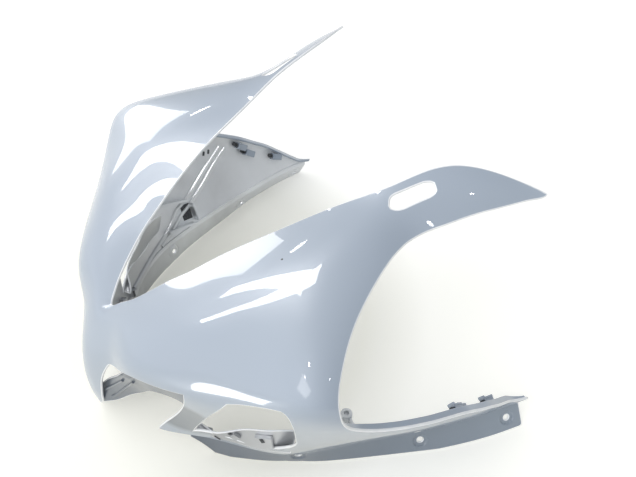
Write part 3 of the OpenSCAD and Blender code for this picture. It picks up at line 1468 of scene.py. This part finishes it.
def rounded_block(
    bm: bmesh.types.BMesh, move: Matrix, size_mm: Sequence[float], radius_mm: float = 0.8
) -> None:
    """Adds a block with rounded edges.

    Args:
        bm: The mesh that gets it.
        move: Where its centre goes, in metres.
        size_mm: Its three sizes.
        radius_mm: Radius of its edges.
    """
    size = [s * MM for s in size_mm]
    made = bmesh.ops.create_cube(bm, size=1.0, matrix=Matrix.Diagonal((*size, 1.0)))["verts"]
    edges = list({e for v in made for e in v.link_edges})
    offset = min(radius_mm * MM, THIN_SHARE * min(size))
    bevel = bmesh.ops.bevel(bm, geom=edges, offset=offset, segments=2, affect="EDGES", clamp_overlap=True)
    near = {v for f in bevel["faces"] for v in f.verts} | {v for v in made if v.is_valid}
    faces = list({f for v in near for f in v.link_faces})
    bmesh.ops.transform(bm, matrix=move, verts=list({v for f in faces for v in f.verts}))
    if move.determinant() < 0:
        bmesh.ops.reverse_faces(bm, faces=faces)


def rounded_mesh(
    name: str, bm: bmesh.types.BMesh, finish: bpy.types.Material, angle: float = 40.0
) -> bpy.types.Mesh:
    """Turns a bmesh into a mesh that is smooth but for its sharp edges.

    Args:
        name: Name of the mesh.
        bm: What it holds, which is freed.
        finish: Its material.
        angle: Edges that turn more than this many degrees stay sharp.

    Returns:
        The mesh.
    """
    mesh = bpy.data.meshes.new(name)
    bm.to_mesh(mesh)
    bm.free()
    mesh.materials.append(finish)
    mesh.polygons.foreach_set("use_smooth", [True] * len(mesh.polygons))
    mesh.set_sharp_from_angle(angle=math.radians(angle))
    return mesh


@dataclass
class Clips:
    """Hooked clips that stand on the inner face under the bar lip: a bridge on two walls, with a hook."""

    places: Sequence[Triple] = ((7.98, 5.22, 18.0), (8.14, 5.52, 18.0), (8.84, 5.80, 10.0))
    sink_mm: float = 2.0
    scale: float = 1.0
    round_mm: float = 0.5
    walls: Sequence[tuple[Triple, Triple]] = (
        ((0.0, -3.4, 5.2), (13.0, 1.8, 12.6)),
        ((0.0, 3.4, 5.2), (13.0, 1.8, 12.6)),
        ((5.4, 0.0, 5.2), (2.0, 6.4, 12.0)),
        ((0.0, 0.0, 12.2), (14.0, 8.6, 2.6)),
        ((-6.2, 0.0, 13.6), (2.4, 8.6, 3.4)),
    )

    def mesh(self, skin: Skin, finish: bpy.types.Material) -> bpy.types.Mesh:
        """Sets a clip at each place, on both sides.

        Args:
            skin: The skin that carries them.
            finish: Its material.

        Returns:
            The mesh of all clips.
        """
        bm = bmesh.new()
        for centre, size in self.walls:
            rounded_block(bm, Matrix.Translation(Vector(centre) * MM), size, self.round_mm)
        pattern = link("clip_pattern", rounded_mesh("clip_pattern", bm, finish))
        tree = PieceTree("clip_tree", {"Scale": self.scale}, {"Clip": pattern})
        clip = tree.add("GeometryNodeObjectInfo", sockets={"Object": tree.entry["Clip"]})
        kept = {"data_type": "FLOAT_VECTOR"}
        turned = tree.add("GeometryNodeInputNamedAttribute", kept, {"Name": "facing"})
        facing = tree.add("FunctionNodeEulerToRotation", sockets={"Euler": turned.outputs[0]})
        sockets = {
            "Points": tree.entry["Geometry"],
            "Instance": clip.outputs["Geometry"],
            "Rotation": facing.outputs[0],
            "Scale": tree.entry["Scale"],
        }
        tree.close(tree.add("GeometryNodeInstanceOnPoints", sockets=sockets).outputs[0])
        points, angles = [], []
        for a, b, turn in self.places:
            frame = skin.place(a, b, self.sink_mm, turn)
            mirror = MIRROR_TURN @ frame @ Matrix.Diagonal((1.0, -1.0, 1.0, 1.0))
            for stand in (frame, mirror):
                points.append(tuple(stand.translation))
                angles += list(stand.to_euler())
        source = bpy.data.meshes.new("clip_points")
        source.from_pydata(points, [], [])
        source.attributes.new("facing", "FLOAT_VECTOR", "POINT").data.foreach_set("vector", angles)
        result = tree.run("bar_clips", source, finish)
        bpy.data.objects.remove(pattern)
        return result


@dataclass(frozen=True)
class Fitting:
    """A small rounded block or tube on the inner face of a sheet."""

    a: float
    b: float
    size_mm: Triple
    turn: float = 0.0
    on_shelf: bool = False
    sink_mm: float = 2.0


@dataclass
class InnerFittings:
    """Brackets, tabs and the socket box inside the shell, and the near-black blocks of painted shade in
    their slots and pockets.
    """

    skin: Skin
    shelf: Sheet
    light: Sequence[Fitting] = (
        Fitting(7.22, 5.32, (46, 22, 3.0), 14.0),
        Fitting(6.13, 6.27, (46, 3.4, 13), 12.0),
        Fitting(6.12, 6.86, (42, 3.4, 11), 12.0),
        Fitting(6.50, 6.68, (3.4, 25, 13), 0.0),
        Fitting(6.0, 0.58, (18, 17, 5), 0.0, True, 1.6),
        Fitting(3.75, 0.72, (9, 9, 4), 30.0, True, 1.6),
        Fitting(3.20, 6.94, (11, 8, 8), 20.0),
        Fitting(2.70, 6.80, (9, 8, 7), 20.0),
    )
    # Near-black blocks that stand for the shade in slots and pockets.
    painted_shade: Sequence[Fitting] = (
        Fitting(6.38, 6.62, (14, 21, 1.2), 6.0, False, 2.6),
        Fitting(7.05, 5.28, (3, 6, 1.0), 14.0, False, 4.6),
        Fitting(7.16, 5.24, (3, 6, 1.0), 14.0, False, 4.6),
        Fitting(5.85, 0.72, (4, 6, 0.8), 20.0, True, 6.4),
        Fitting(3.30, 0.85, (4, 5, 0.8), 20.0, True, 2.2),
        Fitting(2.20, 0.30, (2, 8, 0.8), 20.0, True, 2.0),
        Fitting(1.30, 0.60, (6, 1.6, 0.8), 0.0, True, 2.0),
        Fitting(3.10, 6.90, (3, 8, 0.8), 20.0, False, 9.6),
        Fitting(7.84, 5.12, (2.6, 5.0, 10.0), 18.0, False, 3.0),
        Fitting(8.00, 5.42, (2.6, 5.0, 10.0), 18.0, False, 3.0),
        Fitting(8.70, 5.70, (2.6, 5.0, 10.0), 10.0, False, 3.0),
    )

    def mesh(self, name: str, fittings: Sequence[Fitting], finish: bpy.types.Material) -> bpy.types.Mesh:
        """Makes fittings of both sides in one mesh.

        Args:
            name: Name of the mesh.
            fittings: What it holds.
            finish: Its material.

        Returns:
            The mesh.
        """
        bm = bmesh.new()
        for fitting in fittings:
            sheet = self.shelf if fitting.on_shelf else self.skin
            frame = sheet.place(fitting.a, fitting.b, fitting.sink_mm, fitting.turn)
            lift = Matrix.Translation((0.0, 0.0, fitting.size_mm[2] * MM / 2.0))
            for side in SIDES:
                rounded_block(bm, side @ frame @ lift, fitting.size_mm)
        return rounded_mesh(name, bm, finish)


@dataclass
class CornerBoss:
    """The upright barrel boss beside the corner of the rear cut-out, with the web that carries it."""

    centre_mm: Triple = (223.5, 186.5, 125.0)
    radius_mm: float = 5.6
    height_mm: float = 19.0
    bore_mm: float = 2.4
    bore_depth_mm: float = 6.0
    mouth_mm: float = 0.4
    round_mm: float = 0.9
    pole_mm: float = 0.01
    lean: Triple = (0.12, -0.05, 1.0)
    web_offset_mm: Triple = (11.0, 0.0, -1.0)
    web_size_mm: Triple = (16.0, 3.0, 15.0)
    round_steps: int = 32
    sharp_angle: float = 35.0

    def mesh(self, finish: bpy.types.Material) -> bpy.types.Mesh:
        """Makes the bosses of both sides.

        Args:
            finish: Their material.

        Returns:
            The mesh.
        """
        bm = bmesh.new()
        base = to_frame(np.array([self.centre_mm]))[0]
        turn = Vector(self.lean).normalized().to_track_quat("Z", "X").to_matrix().to_4x4()
        web = Matrix.Translation(base + np.array(self.web_offset_mm) * MM)
        for side in SIDES:
            self._barrel(bm, side @ Matrix.Translation(base) @ turn)
            rounded_block(bm, side @ web, self.web_size_mm)
        return rounded_mesh("corner_bosses", bm, finish, self.sharp_angle)

    def _barrel(self, bm: bmesh.types.BMesh, move: Matrix) -> None:
        """Turns one barrel with its bore.

        Args:
            bm: The mesh that gets it.
            move: Where its middle goes.
        """
        half = self.height_mm / 2.0
        r, b, low = self.radius_mm, self.bore_mm, half - self.bore_depth_mm
        e = self.round_mm
        outline = (
            (self.pole_mm, low), (b, low), (b, half), (b + self.mouth_mm, half), (r - e, half),
            (r, half - e), (r, e - half), (r - e, -half), (self.pole_mm, -half),
        )
        angles = np.linspace(0.0, 2.0 * math.pi, self.round_steps + 1)[:-1]
        rings = [
            [bm.verts.new(move @ (Vector((d * math.cos(t), d * math.sin(t), z)) * MM)) for t in angles]
            for d, z in outline
        ]
        for first, second in zip(rings, rings[1:]):
            for i in range(self.round_steps):
                j = (i + 1) % self.round_steps
                corners = [first[i], second[i], second[j], first[j]]
                bm.faces.new(corners[::-1] if move.determinant() < 0 else corners)


@dataclass(frozen=True)
class Haze:
    """How roughness varies: a noise pattern, the stretch of it that counts, and what it adds to."""

    scale: float
    detail: float
    least: float
    spread: float
    stretch: Pair | None = None


@dataclass(frozen=True)
class Grain:
    """A fine relief: a noise pattern, its strength and its height."""

    scale: float
    detail: float
    strength: float
    height_mm: float


ORANGE_PEEL = Grain(scale=420.0, detail=1.0, strength=0.03, height_mm=0.01)


class Shading:
    """A new material with a principled surface, and the nodes that feed it."""

    def __init__(self, name: str) -> None:
        """Makes the material.

        Args:
            name: Its name.
        """
        self.material = bpy.data.materials.new(name)
        self.material.use_nodes = True
        self.nodes = Nodes(self.material.node_tree)
        self.place = self.nodes.add("ShaderNodeTexCoord").outputs["Object"]

    def dress(self, sockets: dict[str, object]) -> bpy.types.Material:
        """Sets and links the sockets of the surface.

        Args:
            sockets: Values or links, by socket name.

        Returns:
            The material.
        """
        self.nodes.fill(self.nodes.tree.nodes["Principled BSDF"], sockets)
        return self.material

    def axis(self, label: str) -> Wire:
        """Gives one coordinate of the place on the object.

        Args:
            label: Its letter.

        Returns:
            The coordinate, in metres.
        """
        parts = self.nodes.add("ShaderNodeSeparateXYZ", sockets={"Vector": self.place})
        return Wire(self.nodes, parts.outputs[label])

    def noise(self, scale: float, detail: float) -> Wire:
        """Adds a noise pattern.

        Args:
            scale: Its scale, per metre.
            detail: Its number of octaves.

        Returns:
            A value around 0.5.
        """
        sockets = {"Vector": self.place, "Scale": scale, "Detail": detail}
        return Wire(self.nodes, self.nodes.add("ShaderNodeTexNoise", sockets=sockets).outputs["Fac"])

    def hazed(self, haze: Haze) -> Wire:
        """Gives a roughness that varies.

        Args:
            haze: How it varies.

        Returns:
            The roughness.
        """
        pattern = self.noise(haze.scale, haze.detail)
        pattern = pattern.ramp(*haze.stretch) if haze.stretch else pattern
        return pattern * haze.spread + haze.least

    def grained(self, grain: Grain) -> bpy.types.NodeSocket:
        """Gives the normal of a fine relief.

        Args:
            grain: The relief.

        Returns:
            The bent normal.
        """
        pattern = self.noise(grain.scale, grain.detail)
        sockets = {"Strength": grain.strength, "Distance": grain.height_mm * MM, "Height": pattern}
        return self.nodes.add("ShaderNodeBump", sockets=sockets).outputs[0]

    def near(self, at: Triple, both_sides: bool = False) -> Wire:
        """Measures the distance from a place on the object.

        Args:
            at: The place, in metres.
            both_sides: Whether its mirror image counts too.

        Returns:
            The distance, in metres.
        """
        across = self.axis("X").size() if both_sides else self.axis("X")
        sockets = {"X": across, "Y": self.axis("Y"), "Z": self.axis("Z")}
        folded = self.nodes.add("ShaderNodeCombineXYZ", sockets=sockets).outputs[0]
        gap = self.nodes.add("ShaderNodeVectorMath", {"operation": "DISTANCE"}, {0: folded, 1: at})
        return Wire(self.nodes, gap.outputs["Value"])


@dataclass(frozen=True)
class Paint:
    """Clear-coated gloss paint, pale blue-grey, with faint orange peel, flop, one chip and painted shade
    around each strut.
    """

    base: Triple = (0.358, 0.414, 0.497)
    flake: Triple = (0.375, 0.432, 0.510)
    # Painted shade: near each strut the paint turns to a dark tone that stands in for the shade there.
    strut_at: Triple = (0.113, -0.143, 0.080)
    strut_shade_reach: Pair = (0.035, 0.047)
    strut_painted_shade: Triple = (0.13, 0.16, 0.20)
    chip: Triple = (0.02, 0.02, 0.025)
    chip_at: Triple = (0.1192, -0.0296, 0.2449)
    chip_size: float = 0.0011
    flop_scale: float = 5.0
    haze: Haze = Haze(scale=55.0, detail=4.0, least=0.3, spread=0.05, stretch=(0.3, 0.8))

    def material(self) -> bpy.types.Material:
        """Makes the material.

        Returns:
            The material.
        """
        look = Shading("gloss_paint")
        flop = look.noise(self.flop_scale, 1.0).ramp(0.2, 0.8)
        # Mask of the painted shade around the struts: nought at a strut, one beyond its reach.
        away = look.near(self.strut_at, both_sides=True).ramp(*self.strut_shade_reach)
        coat = look.nodes.mix(away, self.strut_painted_shade, look.nodes.mix(flop, self.base, self.flake))
        return look.dress({
            "Base Color": look.nodes.mix(look.near(self.chip_at) < self.chip_size, coat, self.chip),
            "Roughness": look.hazed(self.haze),
            "Normal": look.grained(ORANGE_PEEL),
            "Coat Weight": 1.0,
            "Coat Roughness": 0.025,
            "Coat IOR": 1.5,
            "IOR": 1.45,
        })


@dataclass(frozen=True)
class PaintWithPaintedShade:
    """Duller paint of the flange and the duct walls, painted darker as shade under the skin's overhang,
    darkest at the front.
    """

    # Painted shade: the dark front colour fades to the lighter rear colour.
    front: Triple = (0.11, 0.13, 0.16)
    rear: Triple = (0.27, 0.32, 0.385)
    fade: Pair = (-0.14, 0.16)
    cloud_scale: float = 18.0
    cloud_share: float = 0.10
    haze: Haze = Haze(scale=60.0, detail=3.0, least=0.30, spread=0.10)

    def material(self) -> bpy.types.Material:
        """Makes the material.

        Returns:
            The material.
        """
        look = Shading("paint_with_painted_shade")
        # Painted shade that lightens from front to rear, with a little cloud.
        share = look.axis("Y").ramp(*self.fade) + look.noise(self.cloud_scale, 3.0) * self.cloud_share
        return look.dress({
            "Base Color": look.nodes.mix(share.clamped(), self.front, self.rear),
            "Roughness": look.hazed(self.haze),
            "Normal": look.grained(ORANGE_PEEL),
            "Coat Weight": 0.8,
            "Coat Roughness": 0.06,
        })


@dataclass(frozen=True)
class Bare:
    """The unpainted inner face: silver-grey moulded plastic with overspray and a fine grain, with painted
    shade towards the front and a pale rear that is partly overspray and partly painted sheen.
    """

    base: Triple = (0.68, 0.69, 0.70)
    mist: Triple = (0.86, 0.88, 0.90)
    # Pale rear colour: partly overspray, partly painted sheen for the bright reflection along the bar.
    overspray_and_painted_sheen: Triple = (0.93, 0.95, 0.98)
    # Painted shade towards the front of the hollow.
    shaded: Triple = (0.46, 0.47, 0.49)
    rear_fade: Pair = (0.02, 0.16)
    front_fade: Pair = (-0.12, -0.03)
    cloud_scale: float = 14.0
    cloud_edges: Pair = (0.35, 0.65)
    rubbed_metal: float = 0.75
    haze: Haze = Haze(scale=60.0, detail=3.0, least=0.30, spread=0.12, stretch=(0.3, 0.7))
    grain: Grain = Grain(scale=1500.0, detail=2.0, strength=0.10, height_mm=0.03)

    def material(self) -> bpy.types.Material:
        """Makes the material.

        Returns:
            The material.
        """
        look = Shading("bare_inside")
        cloud = look.noise(self.cloud_scale, 4.0).ramp(*self.cloud_edges)
        rear = look.axis("Y").ramp(*self.rear_fade)
        front = look.axis("Y").ramp(*self.front_fade)
        plain = look.nodes.mix(front, self.shaded, look.nodes.mix(cloud, self.base, self.mist))
        return look.dress({
            "Base Color": look.nodes.mix(rear, plain, self.overspray_and_painted_sheen),
            "Roughness": look.hazed(self.haze),
            "Normal": look.grained(self.grain),
            "Metallic": (1.0 - rear) * self.rubbed_metal,
            "Coat Weight": 0.3,
            "Coat Roughness": 0.2,
        })


@dataclass(frozen=True)
class RimWithPaintedHighlight:
    """Rims made pale as painted highlight along the rounded edges, with some real wear where the pale
    moulding shows.
    """

    # Both rim colours are painted highlight; the noise between them stands for wear.
    pale: Triple = (0.93, 0.94, 0.95)
    thin: Triple = (0.84, 0.86, 0.89)
    wear_scale: float = 70.0
    wear_edges: Pair = (0.35, 0.65)
    haze: Haze = Haze(scale=200.0, detail=2.0, least=0.25, spread=0.1)

    def material(self) -> bpy.types.Material:
        """Makes the material.

        Returns:
            The material.
        """
        look = Shading("rim_painted_highlight")
        worn = look.noise(self.wear_scale, 3.0).ramp(*self.wear_edges)
        return look.dress({
            "Base Color": look.nodes.mix(worn, self.pale, self.thin),
            "Roughness": look.hazed(self.haze),
            "Coat Weight": 0.8,
            "Coat Roughness": 0.05,
        })


@dataclass(frozen=True)
class PaintedShadeSlot:
    """Painted shade: near-black blocks set in the slots and pockets of the brackets and clips, where there
    is only shade.
    """

    shade: Triple = (0.05, 0.055, 0.06)
    lighter_shade: Triple = (0.10, 0.105, 0.11)
    mottle_scale: float = 300.0
    mottle_edges: Pair = (0.4, 0.7)
    haze: Haze = Haze(scale=500.0, detail=2.0, least=0.5, spread=0.2)

    def material(self) -> bpy.types.Material:
        """Makes the material.

        Returns:
            The material.
        """
        look = Shading("painted_shade_slot")
        shade_mottle = look.noise(self.mottle_scale, 3.0).ramp(*self.mottle_edges)
        return look.dress({
            "Base Color": look.nodes.mix(shade_mottle, self.shade, self.lighter_shade),
            "Roughness": look.hazed(self.haze),
        })


def facing_frame(place: Sequence[float], back: Vector, along: Sequence[float]) -> Matrix:
    """Gives the frame of a light or camera.

    Args:
        place: Its place.
        back: Unit vector opposite to where it faces.
        along: Roughly the direction of its width.

    Returns:
        The frame as a matrix.
    """
    x = Vector(along)
    x = (x - back * x.dot(back)).normalized()
    return Matrix.Translation(place) @ Matrix((x, back.cross(x), back)).transposed().to_4x4()


class LightShape(Enum):
    """Outlines of a soft light."""

    ROUND = "ELLIPSE"
    STRAIGHT = "RECTANGLE"


@dataclass(frozen=True)
class Softbox:
    """A flat soft light that faces a target. Only some of them light matt surfaces."""

    name: str
    place: Triple
    target: Triple
    size: Pair
    power: float
    along: Triple = (0.0, 1.0, 0.0)
    shape: LightShape = LightShape.STRAIGHT
    lights_matt: bool = False

    def build(self) -> None:
        """Makes the light."""
        data = bpy.data.lights.new(self.name, "AREA")
        data.shape = self.shape.value
        data.size, data.size_y = self.size
        data.energy = self.power
        lamp = link(self.name, data)
        back = (Vector(self.place) - Vector(self.target)).normalized()
        lamp.matrix_world = facing_frame(self.place, back, self.along)
        lamp.visible_camera = False
        lamp.visible_diffuse = self.lights_matt


def small_lamp(name: str, place: Triple, target: Triple, size: Pair, power: float) -> Softbox:
    """Gives a small round lamp that shows in the gloss.

    Args:
        name: Its name.
        place: Its place.
        target: What it faces.
        size: Its two widths.
        power: Its power in watts.

    Returns:
        The lamp.
    """
    return Softbox(name, place, target, size, power, shape=LightShape.ROUND)


@dataclass(frozen=True)
class Studio:
    """Floor, surroundings, lights and camera."""

    eye: Triple = (0.5585, -0.2374, 0.7323)
    right: Triple = (0.4926, 0.8702, -0.0066)
    forward: Triple = (-0.6323, 0.3527, -0.6898)
    lens: float = 43.3
    sensor: float = 36.0
    floor_half: float = 6.0
    floor_gap: float = 0.0004
    floor_white: Triple = (0.93, 0.93, 0.925)
    # Painted shade: the floor turns from white to cream towards the camera and around the object.
    floor_cream_painted_shade: Triple = (0.84, 0.83, 0.77)
    cream_way: Pair = (0.8, 0.6)
    cream_fade: Pair = (-0.55, -0.1)
    # Painted shade on the floor: the camera glow is weaker near the object, stronger further out.
    floor_glow_in_painted_shade: Triple = (0.19, 0.19, 0.172)
    floor_clear: Triple = (0.36, 0.36, 0.355)
    painted_shade_centre: Triple = (-0.10, -0.10, 0.0)
    painted_shade_fade: Pair = (0.26, 0.34)
    gloss_share: float = 0.5
    black: Triple = (0.0, 0.0, 0.0)
    white: Triple = (1.0, 1.0, 1.0)
    sky_low: Triple = (0.45, 0.47, 0.49)
    sky_high: Triple = (1.36, 1.37, 1.38)
    sky_fade: Pair = (-0.1, 0.9)
    bright_side: Triple = (-0.20, -0.88, 0.42)
    softboxes: Sequence[Softbox] = (
        Softbox("window", (-0.7, -0.19, 0.445), (0.0, -0.19, 0.445), (0.30, 0.40), 1.9),
        Softbox(
            "long_strip", (-0.644, -0.451, 1.0), (-0.644, -0.451, 0.0),
            (1.17, 0.14), 7.4, (-0.83, -0.56, 0.0),
        ),
        Softbox(
            "short_strip", (-0.41, -0.54, 1.0), (-0.41, -0.54, 0.0),
            (1.17, 0.09), 5.0, (-0.505, -0.863, 0.0),
        ),
        Softbox("front_glow", (0.190, -0.63, 0.004), (0.190, -0.63, 1.0), (0.44, 0.06), 0.9),
        small_lamp("lamp_one", (0.39, -0.79, 2.0), (0.2, 0.0, 0.2), (0.10, 0.10), 0.9),
        small_lamp("lamp_two", (0.44, -1.30, 2.0), (0.2, 0.0, 0.2), (0.10, 0.10), 0.5),
        small_lamp("lamp_three", (-2.05, -0.12, 2.0), (0.1, 0.0, 0.2), (0.24, 0.12), 1.6),
        small_lamp("lamp_four", (1.5, 0.32, 2.0), (0.1, 0.0, 0.2), (0.06, 0.06), 0.25),
        Softbox(
            "key", (0.9, -2.2, 2.2), (0.1, 0.0, 0.1), (1.2, 1.2), 13.0, (1.0, 0.0, 0.0), lights_matt=True
        ),
    )

    def build(self) -> None:
        """Makes everything around the object."""
        self._floor()
        self._sky()
        for softbox in self.softboxes:
            softbox.build()
        self._camera()

    def _floor(self) -> None:
        """Makes the pale floor just under the object. It glows to the camera, and keeps the shadow; its
        cream tone and its weaker glow near the object are painted shade.
        """
        half = self.floor_half
        mesh = bpy.data.meshes.new("floor")
        corners = [(x * half, y * half, 0.0) for x, y in ((-1, -1), (1, -1), (1, 1), (-1, 1))]
        mesh.from_pydata(corners, [], [(0, 1, 2, 3)])
        floor = link("floor", mesh)
        look = Shading("pale_floor")
        across = look.axis("X") * self.cream_way[0] - look.axis("Y") * self.cream_way[1]
        cream = across.ramp(*self.cream_fade) + look.noise(2.0, 2.0) * 0.05
        rays = look.nodes.add("ShaderNodeLightPath").outputs
        camera, through, gloss = (
            Wire(look.nodes, rays[f"Is {kind} Ray"]) for kind in ("Camera", "Transmission", "Glossy")
        )
        seen = (camera + through + gloss * self.gloss_share).clamped()
        # Mask of the painted shade: nought near the object, one further out.
        clear = look.near(self.painted_shade_centre).ramp(*self.painted_shade_fade)
        glow = look.nodes.mix(clear, self.floor_glow_in_painted_shade, self.floor_clear)
        mesh.materials.append(look.dress({
            "Base Color": look.nodes.mix(cream.clamped(), self.floor_white, self.floor_cream_painted_shade),
            "Emission Color": look.nodes.mix(seen, self.black, glow),
            "Emission Strength": 1.0,
            "Roughness": 0.6,
        }))
        floor.location.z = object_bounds()[0][2] - self.floor_gap
        floor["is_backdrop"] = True

    def _sky(self) -> None:
        """Makes the surroundings: white to the camera, and brighter from one side for the light."""
        world = bpy.data.worlds.new("surroundings")
        bpy.context.scene.world = world
        world.use_nodes = True
        nodes = Nodes(world.node_tree)
        outwards = nodes.add("ShaderNodeTexCoord").outputs["Generated"]
        sockets = {0: outwards, 1: self.bright_side}
        facing = nodes.add("ShaderNodeVectorMath", {"operation": "DOT_PRODUCT"}, sockets)
        share = Wire(nodes, facing.outputs["Value"]).ramp(*self.sky_fade)
        camera = Wire(nodes, nodes.add("ShaderNodeLightPath").outputs["Is Camera Ray"])
        sky = nodes.mix(camera, nodes.mix(share, self.sky_low, self.sky_high), self.white)
        nodes.fill(nodes.tree.nodes["Background"], {"Color": sky})

    def _camera(self) -> None:
        """Makes the camera at the photograph's viewing angle."""
        data = bpy.data.cameras.new("camera")
        data.sensor_fit = "HORIZONTAL"
        data.sensor_width = self.sensor
        data.lens = self.lens
        data.clip_start = 0.01
        camera = link("camera", data)
        camera.matrix_world = facing_frame(self.eye, -Vector(self.forward).normalized(), self.right)
        bpy.context.scene.camera = camera


def settle(piece: bpy.types.Object, replace: bool = False) -> None:
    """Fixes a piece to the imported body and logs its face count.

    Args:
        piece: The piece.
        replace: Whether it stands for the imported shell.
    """
    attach(piece, BODY)
    if replace:
        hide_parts(CAD_NODE)
    log.info("made %s with %d faces", piece.name, len(piece.data.polygons))


def main() -> None:
    """Builds the fairing and its studio."""
    logging.basicConfig(level=logging.INFO, format="%(name)s: %(message)s")
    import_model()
    scene = bpy.context.scene
    scene.view_settings.view_transform = "Standard"
    finish = Finish(
        paint=Paint().material(),
        bare=Bare().material(),
        edge=RimWithPaintedHighlight().material(),
        painted_shade=PaintedShadeSlot().material(),
        thin=PaintWithPaintedShade().material(),
    )
    skin = Skin()
    shelf = LampShelf(skin)
    settle(Shell(skin).moulding().build("shell_skin", finish.shell), replace=True)
    settle(BarLip(skin).moulding().build("bar_lips", finish.shell))
    # The flange and the duct walls take the paint with painted shade.
    settle(Flange(skin).moulding().build("side_flanges", (finish.thin, finish.bare, finish.bare)))
    settle(shelf.moulding().build("lamp_shelves", (finish.bare, finish.bare, finish.edge)))
    settle(DuctWall().moulding().build("duct_walls", (finish.thin, finish.thin, finish.edge)))
    fittings = InnerFittings(skin, shelf.sheet())
    settle(link("inner_brackets", fittings.mesh("inner_brackets", fittings.light, finish.bare)))
    # Near-black blocks of painted shade in the bracket and clip slots.
    settle(link("bracket_slots", fittings.mesh("bracket_slots", fittings.painted_shade, finish.painted_shade)))
    settle(link("bar_clips", Clips().mesh(skin, finish.paint)))
    settle(link("corner_bosses", CornerBoss().mesh(finish.bare)))
    beads = Beads()
    lines = [beads.line(skin, stops) for stops in RIDGE_LINES]
    settle(link("inner_ridges", beads.mesh("inner_ridges", lines, finish.bare)))
    Studio().build()


if __name__ == "__main__":
    main()
